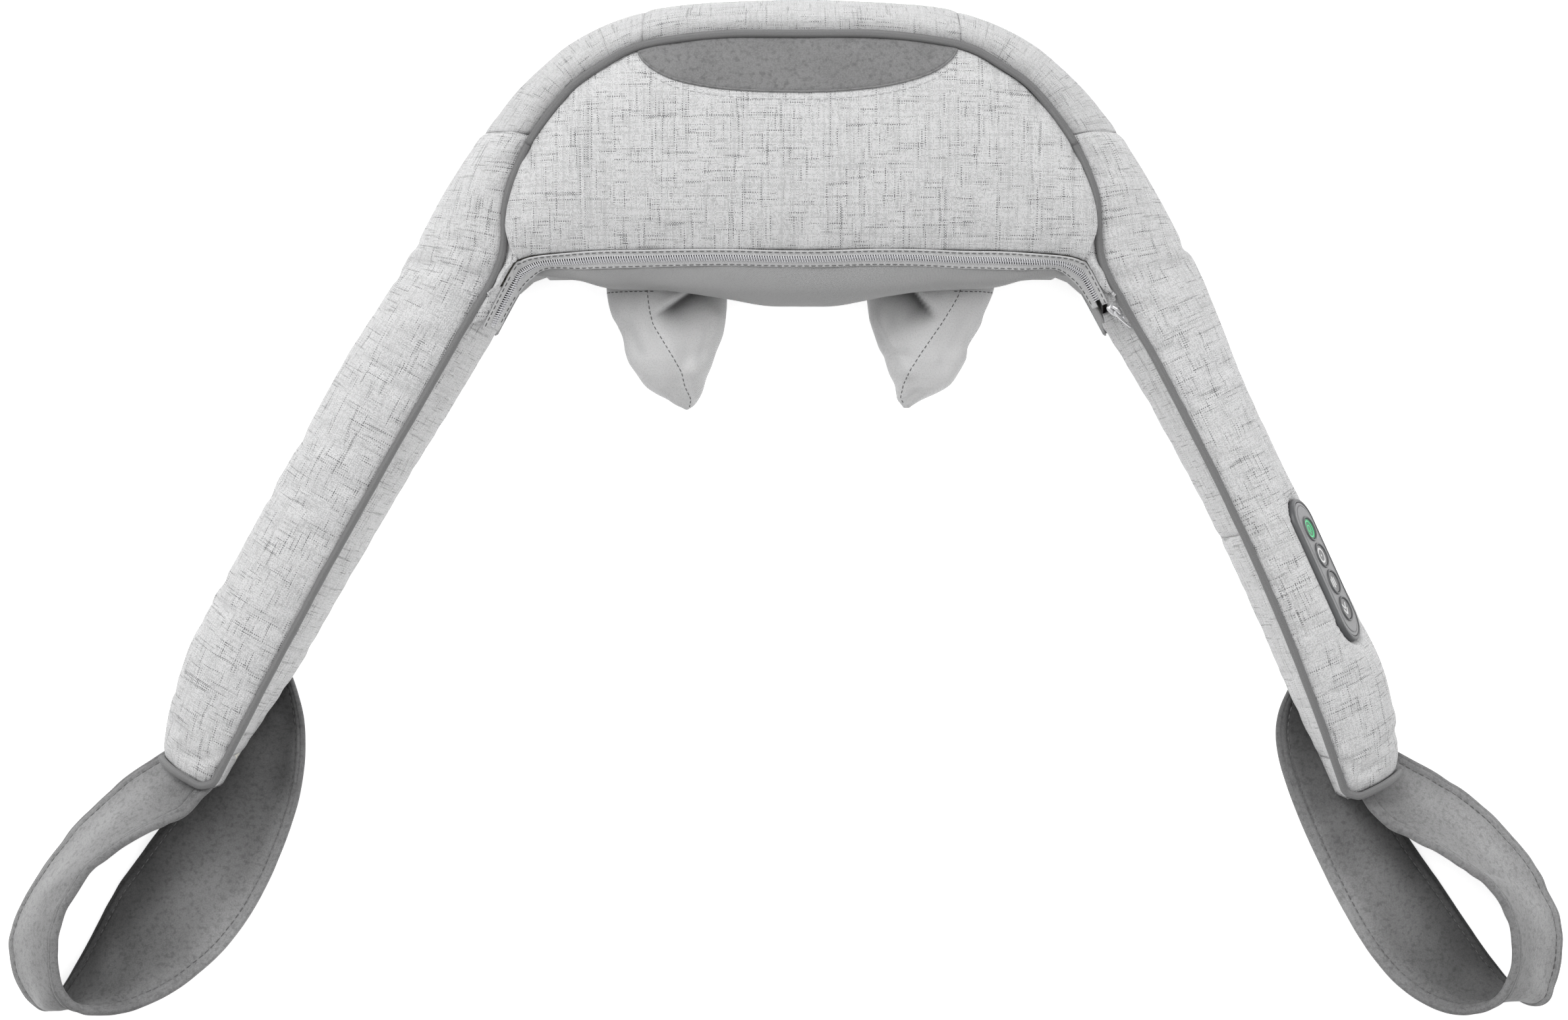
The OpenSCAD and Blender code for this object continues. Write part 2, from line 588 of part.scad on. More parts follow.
arm_root = [RIDGE[8].x, RIDGE[8].y, 0];

function arm_section(side, k) = spline(side == left ? LEFT_ARM : RIGHT_ARM, k);
function arm_length(side) = side == left ? left_length : right_length;
function arm_splay(side) = side == left ? left_splay : right_splay;
function arm_bow(side) = side == left ? 2.5 : 5.5;
function arm_ahead(side, distance) =
  distance*[sin(arm_splay(side)), -cos(arm_splay(side)), 0];
// Point at a station, at a distance outwards from the ridge line and a height
function arm_point(side, k, out, z) = let (
    along = table_start + (arm_section(side, k)[0] - table_start)
      *(arm_length(side) - table_start)/table_span,
    bowed = out + arm_bow(side)*sin(180*along/arm_length(side)))
  arm_root + arm_ahead(side, along)
  + [cos(arm_splay(side))*bowed, sin(arm_splay(side))*bowed, z];

// Outer surface, from the ridge over the shoulder to the base edge
function arm_outer(side, k, v) =
  let (section = arm_section(side, k), out = section[1], top = section[3], floor_z = section[4],
    place = spline([[0, top], [0.28*out, top*1.045], [0.6*out, top*0.99],
      [0.87*out, top*0.75], [out, top*0.44], [0.96*out, top*0.18 + floor_z*0.4],
      [0.84*out, floor_z]], v*6))
  arm_point(side, k, place[0], max(place[1], floor_z));
// Underside and inner surface, from the base edge back up to the ridge
function arm_inner(side, k, v) =
  let (section = arm_section(side, k), out = section[1], inner = section[2],
    top = section[3], floor_z = section[4],
    place = spline([[0.84*out, floor_z], [0.4*out, floor_z], [0, floor_z],
      [-0.75*inner, floor_z], [-1.05*inner, floor_z*0.7 + top*0.2],
      [-0.85*inner, top*0.6], [0, top]], v*6))
  arm_point(side, k, place[0], max(place[1], floor_z));

module arm_band(side) color(linen) difference() {
  on_side(side) patch(
    [for (k = [0:0.5:8]) [for (v = [0.03:0.94/9:0.971]) arm_outer(side, k, v)]], cover_thick);
  if (side == right) panel_cut(-14);
}

// Lining and the flat cap that closes the tip
module arm_lining(side) color(linen) on_side(side) {
  patch([for (k = [0:0.5:8]) [for (v = [0.02:0.95/8:0.971]) arm_inner(side, k, v)]],
        cover_thick);
  loft([for (distance = [0.4, 2.2]) [for (turn = [0.9375:-0.0625:-0.001])
    arm_ahead(side, distance) + (turn < 0.5 ? arm_outer(side, 8, 0.05 + turn*1.8)
                                            : arm_inner(side, 8, (turn - 0.5)*1.8 + 0.04))]]);
}

// One run along the ridge, one around the tip
module arm_piping(side) color(piping_grey) on_side(side) {
  tube([for (k = [0:0.4:8]) arm_outer(side, k, 0) + [-0.8, -0.4, 2.3]], piping_radius);
  tube([for (v = [0.06:0.117:0.77]) arm_outer(side, 8, v) + arm_ahead(side, 4.6)],
       piping_radius);
}

function foam_ring(side, k) =
  let (section = arm_section(side, k), out = section[1], inner = section[2],
    top = section[3], rise = section[4], floor_z = rise + cover_thick + 0.8)
  let (low = floor_z)
  [for (place = [[-0.75*inner + 3.5, low], [0.40*out, low], [0.84*out - 4, low],
      [0.96*out - 4, top*0.22 + low*0.4 + 1], [out - 4, top*0.44],
      [0.87*out - 4.4, top*0.75 - 1.8], [0.6*out - 2, top*0.99 - 4],
      [0.28*out, top*1.045 - 4], [2.2, top - 5], [-0.85*inner + 4, top*0.6],
      [-1.05*inner + 4, top*0.2 + low*0.7]])
    arm_point(side, k, place[0], place[1])];

module arm_foam(side) color(foam) difference() {
  on_side(side) loft([for (k = [0.15:0.35:7.86]) foam_ring(side, k)]);
  if (side == right) panel_cut(-13);
}

// ---------- control panel ----------
// Station on the right arm at a distance from the flex line, measured from station 3
function right_station(distance) = 3
  + (table_start + (distance - table_start)*table_span/(right_length - table_start)
     - RIGHT_ARM[3][0])/(RIGHT_ARM[4][0] - RIGHT_ARM[3][0]);
// Frame with x along the arm, y up the slope and z out of the surface
module at_panel() translate(arm_point(right, right_station(panel_place), 33, 39.5))
  rotate([0, 0, right_splay - 90]) rotate([-62, 0, 0]) children();

// Panel outline with rounded ends, grown by a margin on the full length and width
module panel_outline(margin) {
  width = panel_width + margin;
  straight = panel_length + margin - width;
  square([straight, width], center = true);
  for (x = [-1, 1]) translate([x*straight/2, 0]) circle(d = width, $fn = 48);
}
module panel_cut(bottom) at_panel()
  translate([0, 0, bottom]) linear_extrude(12 - bottom) panel_outline(1);

button_x = [for (i = [0:3]) (i - 1.5)*button_pitch];

module panel_housing() color("#5f6163") at_panel() difference() {
  translate([0, 0, -11]) linear_extrude(12.4) panel_outline(0);
  translate([0, 0, -9]) linear_extrude(20) panel_outline(-4);
}

module panel_fascia() color("#7d7e80") at_panel() difference() {
  union() {
    translate([0, 0, -0.6]) linear_extrude(2.2) panel_outline(-4.4);
    at_grid(button_x, [0], 1.5) cylinder(r = button_radius + 1.1, h = 0.9, $fn = 48);
  }
  at_grid(button_x, [0], -3) cylinder(r = button_radius + 0.25, h = 10, $fn = 48);
}

module panel_board() color(circuit_green) at_panel() {
  translate([0, 0, -7.6]) linear_extrude(1.6) panel_outline(-5);
  at_grid(button_x, [0], -6.1) translate([-3, -3, 0]) cube([6, 6, 2.6]);
  translate([-33.5, -3, -6.1]) cube([5, 6, 3]);
}

// The first button is green
module button(index) color(index == 0 ? "#3fbf74" : "#d0d0d0")
  at_panel() translate([button_x[index], 0, 0]) {
    translate([0, 0, -2.3]) cylinder(r = button_radius, h = 4.4, $fn = 48);
    translate([0, 0, -2.5]) cylinder(r = 2, h = 0.4, $fn = 24);
  }

// ---------- hand loops ----------
// Lower and upper edges [x, y, z] of the ribbon, from its outer to its inner end
LOOP_LOWER = [[327,-309,14], [352,-325,9], [381,-353,6], [402,-388,4], [410,-416,3],
  [396,-429,3], [383,-412,3], [362,-384,3], [340,-352,3], [317,-322,3], [296,-296,3],
  [281,-272,3]];
LOOP_UPPER = [[306,-330,37], [317,-342,45], [338,-350,50], [362,-368,50], [378,-392,48],
  [382,-420,44], [369,-437,34], [344,-430,27], [318,-412,22], [288,-372,16], [264,-322,9],
  [261,-279,4]];
// Shift that fits the shared ribbon to each arm's tip
function loop_shift(side, point) = side == left ? [1.4, -2.5, 0.4]
  : [-11.9*(1 - 0.35*(-point.y - 300)/130), -7.4, 0.6];

module hand_loop(side) color(suede) on_side(side)
  patch([for (k = [0.12:0.36:10.93])
    let (lower = spline(LOOP_LOWER, k), upper = spline(LOOP_UPPER, k))
    [for (v = [0:0.25:1]) let (point = lower + (upper - lower)*v)
      point + loop_shift(side, point)]], 2.4, -1.2);

// ---------- nodes ----------
function shown(name) = node == "all" || node == name;

if (shown("base_panel")) base_panel();
if (shown("rear_band")) rear_band();
if (shown("left_shoulder_band")) shoulder_band(left);
if (shown("right_shoulder_band")) shoulder_band(right);
if (shown("top_panel")) top_panel();
if (shown("collar_patch")) collar_patch();
if (shown("front_lining")) front_lining();
if (shown("head_piping")) head_piping();
if (shown("zipper_tape")) zipper_tape();
if (shown("zipper_coil")) zipper_coil();
if (shown("zipper_slider")) zipper_slider();
if (shown("zipper_pull")) zipper_pull();
if (shown("top_foam_pad")) top_foam_pad();
if (shown("side_foam")) side_foam();
if (shown("chassis_plate")) chassis_plate();
if (shown("gearbox_lower_case")) gearbox_lower_case();
if (shown("gearbox_upper_case")) gearbox_upper_case();
if (shown("case_screws")) case_screws();
if (shown("chassis_screws")) chassis_screws();
if (shown("motor")) motor();
if (shown("motor_end_cap")) motor_end_cap();
if (shown("motor_shaft")) motor_shaft();
if (shown("worm")) worm();
if (shown("worm_wheel")) worm_wheel();
if (shown("drive_shaft")) drive_shaft();
if (shown("shaft_bushings")) shaft_bushings();
if (shown("shaft_clips")) shaft_clips();
if (shown("bearing_pillars")) bearing_pillars();
if (shown("guide_posts")) guide_posts();
if (shown("left_wobble_bush")) wobble_bush(left);
if (shown("right_wobble_bush")) wobble_bush(right);
if (shown("left_hand_frame")) hand_frame(left);
if (shown("right_hand_frame")) hand_frame(right);
if (shown("left_hub_bearing")) hub_bearing(left);
if (shown("right_hub_bearing")) hub_bearing(right);
if (shown("left_hand_nodes")) hand_nodes(left);
if (shown("right_hand_nodes")) hand_nodes(right);
if (shown("left_hand_sleeve")) hand_sleeve(left);
if (shown("right_hand_sleeve")) hand_sleeve(right);
if (shown("battery_pack")) battery_pack();
if (shown("main_board")) main_board();
if (shown("charging_port")) charging_port();
if (shown("head_wiring")) head_wiring();
if (shown("left_arm_band")) arm_band(left);
if (shown("right_arm_band")) arm_band(right);
if (shown("left_arm_lining")) arm_lining(left);
if (shown("right_arm_lining")) arm_lining(right);
if (shown("left_arm_piping")) arm_piping(left);
if (shown("right_arm_piping")) arm_piping(right);
if (shown("left_arm_foam")) arm_foam(left);
if (shown("right_arm_foam")) arm_foam(right);
if (shown("left_hand_loop")) hand_loop(left);
if (shown("right_hand_loop")) hand_loop(right);
if (shown("panel_housing")) panel_housing();
if (shown("panel_fascia")) panel_fascia();
if (shown("panel_board")) panel_board();
if (shown("power_button")) button(0);
if (shown("heat_button")) button(1);
if (shown("knead_button")) button(2);
if (shown("speed_button")) button(3);
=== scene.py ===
import bpy
import math
import numpy as np
from mathutils import Matrix, Vector


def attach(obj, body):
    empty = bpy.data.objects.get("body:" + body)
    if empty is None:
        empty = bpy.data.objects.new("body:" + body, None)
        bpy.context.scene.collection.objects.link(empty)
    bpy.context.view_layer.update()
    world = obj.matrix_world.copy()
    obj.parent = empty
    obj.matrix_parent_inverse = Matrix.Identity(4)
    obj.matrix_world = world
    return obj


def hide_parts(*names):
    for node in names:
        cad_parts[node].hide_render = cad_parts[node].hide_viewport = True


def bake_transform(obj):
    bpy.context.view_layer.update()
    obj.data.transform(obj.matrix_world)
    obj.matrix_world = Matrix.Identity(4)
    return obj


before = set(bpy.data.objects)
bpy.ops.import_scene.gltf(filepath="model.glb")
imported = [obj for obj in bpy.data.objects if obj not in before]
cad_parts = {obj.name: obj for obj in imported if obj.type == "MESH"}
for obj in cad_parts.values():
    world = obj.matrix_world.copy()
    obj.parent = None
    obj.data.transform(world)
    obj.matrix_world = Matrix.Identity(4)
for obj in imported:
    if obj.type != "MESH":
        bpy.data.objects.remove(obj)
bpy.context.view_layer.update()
MM = 0.001

# ------------------------------------------------------------------ numbers of the design, in millimetres
P_r = [[0,55,92],[41,54.5,92],[79,49.5,90],[99.5,40,87],[117,27.5,83],[137,2,77],[148,-24,73],[152,-56,66],[171,-88,58]]
S_r = [[0,78,50],[40,76.5,50],[79,72.5,50],[111,59.5,48],[130,46,46],[156,20,42],[180,-15,37],[198,-45,32],[212,-69,28]]
B_r = [[0,68,0],[39,66.5,0],[75,62.5,0],[103,51,0],[121,38,0],[146,12,0],[169,-20,0],[187,-48,0],[201,-71,0]]
Z_r = [[0,-51.5,84],[41,-51.5,84],[82,-51.5,82],[99,-51.5,80],[115,-52,77],[132,-53,73],[141,-55,69],[146,-59,66],[160,-84,57]]
T_r = [[0,-58.5,78],[41,-58.5,78],[84,-59,76],[100,-59.3,74.5],[111,-59.3,72],[128,-58.5,67],[137,-63,61],[144,-70,55],[152,-82,49]]
R_r = [[0,-78,60],[20,-77.5,60],[44,-73,60],[67,-70,60],[95,-69,60],[104,-65,58],[119,-62,52],[139,-66,46],[152,-82,42]]
F_r = [[0,-52,0],[41,-52,0],[82,-52,0],[99,-52,0],[115,-52,0],[130,-54,0],[139,-60,0],[146,-70,0],[159,-94,0]]
A_l = [[2,46,9,57.5,0],[34,48,9.5,53,0],[70,48,8.5,49.5,0],[108,47.5,8,47,0],[146,47,7.5,45,0],[184,47.5,7,43.5,1.5],[217,47,6.5,42.5,6],[246,41.5,5.5,41,8],[271,33.5,4,38.5,11]]
A_r = [[2,44,8,58,0],[34,40,6.5,57.5,0],[70,37.5,6,57,0],[108,37,5,56,0],[146,38.5,4.5,55,0],[184,42,4,53,1.5],[217,44,3.5,50,6],[246,41,3.5,46,8],[271,34,3,40,11]]
ROOT = np.array([171.0, -88.0, 0.0])
SPLAY = {-1: math.radians(29.2), 1: math.radians(24.4)}
ALEN = {-1: 271.0, 1: 265.0}
TABLE = {-1: np.array(A_l, float), 1: np.array(A_r, float)}
SIDE = {-1: "left", 1: "right"}


# ------------------------------------------------------------------ curves and noise
def _cr(a, b, c, d, t):
    return 0.5*((2*b) + (c - a)*t + (2*a - 5*b + 4*c - d)*t*t + (3*b - a - 3*c + d)*t*t*t)


def spl(P, u):
    P = np.asarray(P, float)
    n = len(P) - 1
    E = np.vstack([2*P[0] - P[1], P, 2*P[-1] - P[-2]])
    s = np.clip(np.asarray(u, float), 0, n)
    i = np.minimum(np.floor(s).astype(int), n - 1)
    t = (s - i)[..., None]
    return _cr(E[i], E[i+1], E[i+2], E[i+3], t)


def dense(P, n):
    """n points evenly spaced by length along the control points' curve"""
    P = np.asarray(P, float)
    q = spl(P, np.linspace(0, len(P) - 1, 60*len(P)))
    d = np.r_[0, np.cumsum(np.linalg.norm(np.diff(q, axis=0), axis=1))]
    return np.stack([np.interp(np.linspace(0, d[-1], n), d, q[:, c]) for c in range(q.shape[1])], 1)


def resample(Q, n):
    d = np.r_[0, np.cumsum(np.linalg.norm(np.diff(Q, axis=0), axis=1))]
    return np.stack([np.interp(np.linspace(0, d[-1], n), d, Q[:, c]) for c in range(Q.shape[1])], 1)


def rail(R, k, s=1):
    k = np.asarray(k, float)
    p = spl(R, np.abs(k))
    p[..., 0] *= np.where(k < 0, -1.0, 1.0)*s
    return p


def _hash(i, j, seed):
    h = np.sin(i*127.1 + j*311.7 + seed*74.7)*43758.5453
    return h - np.floor(h)


def vnoise(x, y, seed=0.0):
    """smooth noise between -1 and 1"""
    x, y = np.broadcast_arrays(np.asarray(x, float), np.asarray(y, float))
    i, j = np.floor(x), np.floor(y)
    u, v = x - i, y - j
    u, v = u*u*u*(u*(u*6 - 15) + 10), v*v*v*(v*(v*6 - 15) + 10)
    a, b, c, d = _hash(i, j, seed), _hash(i+1, j, seed), _hash(i, j+1, seed), _hash(i+1, j+1, seed)
    return 2*((a*(1-u) + b*u)*(1-v) + (c*(1-u) + d*u)*v) - 1


def unit(v):
    return v/np.maximum(np.linalg.norm(v, axis=-1, keepdims=True), 1e-9)


def grid_normals(G):
    return unit(np.cross(np.gradient(G, axis=0), np.gradient(G, axis=1)))


def arclen(G, axis):
    d = np.linalg.norm(np.diff(G, axis=axis), axis=2)
    z = np.zeros((1, d.shape[1])) if axis == 0 else np.zeros((d.shape[0], 1))
    return np.cumsum(np.concatenate([z, d], axis), axis)


def sstep(x, a, b):
    t = np.clip((x - a)/(b - a), 0, 1)
    return t*t*(3 - 2*t)


# ------------------------------------------------------------------ mesh building
def mesh_obj(name, verts, faces, mat=None, uv=None, smooth=True):
    me = bpy.data.meshes.new(name)
    me.from_pydata((np.asarray(verts, float)*MM).tolist(), [], [tuple(int(i) for i in f) for f in faces])
    if uv is not None:
        layer = me.uv_layers.new(name="UVMap")
        idx = np.zeros(len(me.loops), np.int32)
        me.loops.foreach_get("vertex_index", idx)
        layer.data.foreach_set("uv", np.asarray(uv, np.float32)[idx].ravel())
    if smooth:
        me.polygons.foreach_set("use_smooth", np.ones(len(me.polygons), bool))
    me.update()
    ob = bpy.data.objects.new(name, me)
    bpy.context.scene.collection.objects.link(ob)
    for m in (mat if isinstance(mat, (list, tuple)) else [mat]):
        if m is not None:
            me.materials.append(m)
    return ob


def grid_faces(m, n, close_v=False, flip=False, base=0):
    i, j = np.meshgrid(np.arange(m - 1), np.arange(n if close_v else n - 1), indexing="ij")
    a = i*n + j
    b = i*n + (j + 1) % n
    c = (i + 1)*n + (j + 1) % n
    d = (i + 1)*n + j
    f = np.stack([a, d, c, b] if not flip else [a, b, c, d], -1).reshape(-1, 4) + base
    return f


def shell(name, G, mat, uv=None, t=1.6, flip=False):
    """a cloth panel: outer surface, inner surface and rim"""
    m, n = G.shape[:2]
    N = grid_normals(G)*(-1 if flip else 1)
    V = np.concatenate([G.reshape(-1, 3), (G - t*N).reshape(-1, 3)])
    f = grid_faces(m, n, flip=flip)
    q = m*n
    fi = f[:, ::-1] + q
    ring = [i*n for i in range(m)] + [(m-1)*n + j for j in range(1, n)] + [i*n + n - 1 for i in range(m-2, -1, -1)] + [j for j in range(n-2, 0, -1)]
    r = np.array(ring)
    s = np.roll(r, -1)
    rim = np.stack([r, s, s + q, r + q], 1)
    if not flip:
        rim = rim[:, ::-1]
    if uv is None:
        U, W = arclen(G, 0), arclen(G, 1)
        uv = np.stack([U.mean(1)[:, None] + 0*W, W], -1)*MM
    uv = np.concatenate([uv.reshape(-1, 2)]*2)
    return mesh_obj(name, V, np.concatenate([f, fi, rim]), mat, uv)


def frames(C, closed=False):
    """tangent and two cross directions that don't twist"""
    T = unit(np.gradient(C, axis=0))
    a = np.array([0, 0, 1.0]) if abs(T[0][2]) < 0.9 else np.array([1.0, 0, 0])
    A = np.zeros_like(C)
    x = a - T[0]*np.dot(a, T[0])
    for i in range(len(C)):
        x = x - T[i]*np.dot(x, T[i])
        x = x/np.linalg.norm(x)
        A[i] = x
    return T, A, np.cross(T, A)


def tube_data(C, r, n=12, ry=None, base=0):
    C = np.asarray(C, float)
    r = np.broadcast_to(np.asarray(r, float), (len(C),))
    T, A, B = frames(C)
    th = np.linspace(0, 2*np.pi, n, endpoint=False)
    V = C[:, None, :] + r[:, None, None]*(np.cos(th)[None, :, None]*A[:, None, :] + (1 if ry is None else ry)*np.sin(th)[None, :, None]*B[:, None, :])
    m = len(C)
    f = grid_faces(m, n, close_v=True, flip=True)
    caps0 = np.array([[0, j+1, j] for j in range(1, n-1)])
    caps1 = caps0[:, ::-1] + (m-1)*n
    L = np.r_[0, np.cumsum(np.linalg.norm(np.diff(C, axis=0), axis=1))]
    uv = np.stack([np.repeat(L[:, None], n, 1), np.repeat((th*r.mean())[None, :], m, 0)], -1).reshape(-1, 2)*MM
    faces = [tuple(x + base) for x in f] + [tuple(x + base) for x in caps0] + [tuple(x + base) for x in caps1]
    return V.reshape(-1, 3), faces, uv


def tube(name, C, r, mat, n=12, ry=None):
    v, f, uv = tube_data(C, r, n, ry)
    return mesh_obj(name, v, f, mat, uv)


def merge(name, parts, mat, smooth=True):
    """parts: list of (verts, faces[, uv])"""
    V, F, U, base = [], [], [], 0
    for p in parts:
        V.append(np.asarray(p[0], float))
        F += [tuple(int(i) + base for i in f) for f in p[1]]
        U.append(p[2] if len(p) > 2 else np.asarray(p[0], float)[:, :2]*MM)
        base += len(p[0])
    return mesh_obj(name, np.concatenate(V), F, mat, np.concatenate(U), smooth)


def stitches(C, N, length=3.0, gap=1.4, r=0.38, sink=0.0):
    """thread dashes lying along a path with surface normals N"""
    C, N = np.asarray(C, float), unit(np.asarray(N, float))
    L = np.r_[0, np.cumsum(np.linalg.norm(np.diff(C, axis=0), axis=1))]
    parts = []
    s = gap
    while s + length < L[-1]:
        u = np.linspace(s, s + length, 6)
        c = np.stack([np.interp(u, L, C[:, k]) for k in range(3)], 1)
        n = unit(np.stack([np.interp(u, L, N[:, k]) for k in range(3)], 1))
        w = np.linspace(-1, 1, 6)
        c = c + n*(r*0.75*(1 - w**4) - r*0.55 - sink)[:, None]
        parts.append(tube_data(c, r*np.sqrt(np.clip(1 - 0.75*w**6, 0.2, 1)), 6))
        s += length + gap
    return parts


# ------------------------------------------------------------------ materials
def new_mat(name):
    m = bpy.data.materials.new(name)
    m.use_nodes = True
    nt = m.node_tree
    nt.nodes.clear()
    out = nt.nodes.new("ShaderNodeOutputMaterial")
    b = nt.nodes.new("ShaderNodeBsdfPrincipled")
    nt.links.new(b.outputs[0], out.inputs[0])
    return m, nt, b


def nd(nt, kind, **kw):
    n = nt.nodes.new(kind)
    for k, v in kw.items():
        setattr(n, k, v)
    return n


def mth(nt, op, a, b=None, c=None, clamp=False):
    n = nd(nt, "ShaderNodeMath", operation=op, use_clamp=clamp)
    for i, x in enumerate((a, b, c)):
        if x is None:
            continue
        if isinstance(x, (int, float)):
            n.inputs[i].default_value = x
        else:
            nt.links.new(x, n.inputs[i])
    return n.outputs[0]


def comb(nt, x, y, z=0.0):
    n = nd(nt, "ShaderNodeCombineXYZ")
    for i, v in enumerate((x, y, z)):
        if isinstance(v, (int, float)):
            n.inputs[i].default_value = v
        else:
            nt.links.new(v, n.inputs[i])
    return n.outputs[0]


def noise(nt, vec, scale=1.0, detail=2.0, rough=0.5):
    n = nd(nt, "ShaderNodeTexNoise")
    n.inputs["Scale"].default_value = scale
    n.inputs["Detail"].default_value = detail
    n.inputs["Roughness"].default_value = rough
    nt.links.new(vec, n.inputs["Vector"])
    return n.outputs[0]


def ramp(nt, fac, a, b, lo=0.0, hi=1.0):
    n = nd(nt, "ShaderNodeMapRange", clamp=True)
    n.interpolation_type = "SMOOTHSTEP"
    nt.links.new(fac, n.inputs[0])
    for i, v in zip((1, 2, 3, 4), (a, b, lo, hi)):
        n.inputs[i].default_value = v
    return n.outputs[0]


def mixc(nt, fac, a, b):
    n = nd(nt, "ShaderNodeMix", data_type="RGBA")
    if isinstance(fac, (int, float)):
        n.inputs[0].default_value = fac
    else:
        nt.links.new(fac, n.inputs[0])
    for sock, v in ((n.inputs[6], a), (n.inputs[7], b)):
        if isinstance(v, tuple):
            sock.default_value = (*v, 1.0)
        else:
            nt.links.new(v, sock)
    return n.outputs[2]


def bump(nt, b, height, dist, strength=1.0):
    n = nd(nt, "ShaderNodeBump")
    n.inputs["Strength"].default_value = strength
    n.inputs["Distance"].default_value = dist
    nt.links.new(height, n.inputs["Height"])
    nt.links.new(n.outputs[0], b.inputs["Normal"])


def g(x):
    return (x, x, x*1.005)


def linen(name, light=0.70, dark=0.07, pitch=0.00064):
    m, nt, b = new_mat(name)
    uv = nd(nt, "ShaderNodeTexCoord").outputs["UV"]
    sep = nd(nt, "ShaderNodeSeparateXYZ")
    nt.links.new(uv, sep.inputs[0])
    U, V = sep.outputs[0], sep.outputs[1]
    u, v = mth(nt, "DIVIDE", U, pitch), mth(nt, "DIVIDE", V, pitch)
    iu, iv = mth(nt, "FLOOR", u), mth(nt, "FLOOR", v)
    # warp on top where the two thread numbers add to an even number
    par = mth(nt, "FLOORED_MODULO", mth(nt, "ADD", iu, iv), 2.0)
    # each thread runs dark over short lengths
    def slub(thread, along, seed, ln):
        n1 = noise(nt, comb(nt, mth(nt, "MULTIPLY", thread, 7.317), mth(nt, "DIVIDE", along, ln), seed), 1.0, 1.0)
        n2 = noise(nt, comb(nt, mth(nt, "MULTIPLY", thread, 3.917), mth(nt, "DIVIDE", along, ln*0.22), seed + 9.0), 1.0, 1.0)
        n3 = noise(nt, comb(nt, mth(nt, "MULTIPLY", thread, 5.131), mth(nt, "DIVIDE", along, ln*3.2), seed + 21.0), 1.0, 0.0)
        d1 = ramp(nt, n1, 0.585, 0.70, 0.0, 1.0)
        d2 = ramp(nt, n2, 0.56, 0.80, 0.0, 0.50)
        d3 = ramp(nt, n3, 0.52, 0.72, 0.0, 0.30)
        # dark fibre comes and goes along the yarn
        return mth(nt, "MAXIMUM", mth(nt, "MULTIPLY", d1, ramp(nt, n2, 0.25, 0.55, 0.35, 1.0)), mth(nt, "MAXIMUM", d2, d3))
    dw = slub(iu, V, 1.5, 0.021)
    df = slub(iv, U, 41.5, 0.017)
    wn = nd(nt, "ShaderNodeTexWhiteNoise", noise_dimensions="3D")
    nt.links.new(comb(nt, iu, iv, 2.0), wn.inputs["Vector"])
    fleck = ramp(nt, wn.outputs["Value"], 0.55, 1.0, 0.0, 0.34)
    dk = nd(nt, "ShaderNodeMix", data_type="FLOAT")
    nt.links.new(par, dk.inputs[0]); nt.links.new(dw, dk.inputs[2]); nt.links.new(df, dk.inputs[3])
    amount = mth(nt, "MAXIMUM", dk.outputs[0], fleck)
    # soft cloudy unevenness of the yarn
    cloud = noise(nt, comb(nt, mth(nt, "MULTIPLY", U, 70.0), mth(nt, "MULTIPLY", V, 70.0), 3.0), 1.0, 2.0, 0.5)
    base = mixc(nt, ramp(nt, cloud, 0.25, 0.75), g(light*0.965), g(light*1.02))
    col = mixc(nt, mth(nt, "MULTIPLY", amount, 0.84), base, (dark, dark*1.01, dark*1.04))
    # thread relief
    fu, fv = mth(nt, "SUBTRACT", mth(nt, "FRACT", u), 0.5), mth(nt, "SUBTRACT", mth(nt, "FRACT", v), 0.5)
    hu = mth(nt, "SUBTRACT", 1.0, mth(nt, "MULTIPLY", mth(nt, "MULTIPLY", fu, fu), 3.6))
    hv = mth(nt, "SUBTRACT", 1.0, mth(nt, "MULTIPLY", mth(nt, "MULTIPLY", fv, fv), 3.6))
    hh = nd(nt, "ShaderNodeMix", data_type="FLOAT")
    nt.links.new(par, hh.inputs[0]); nt.links.new(hu, hh.inputs[2]); nt.links.new(hv, hh.inputs[3])
    groove = mth(nt, "MINIMUM", hu, hv)
    # painted shade: the gaps between threads are darkened
    col = mixc(nt, ramp(nt, groove, 0.15, 0.6, 0.22, 0.0), col, g(light*0.35))
    nt.links.new(col, b.inputs["Base Color"])
    b.inputs["Roughness"].default_value = 0.92
    b.inputs["Specular IOR Level"].default_value = 0.15
    b.inputs["Sheen Weight"].default_value = 0.12
    bump(nt, b, mth(nt, "ADD", hh.outputs[0], mth(nt, "MULTIPLY", groove, 0.6)), 0.00022, 0.55)
    return m


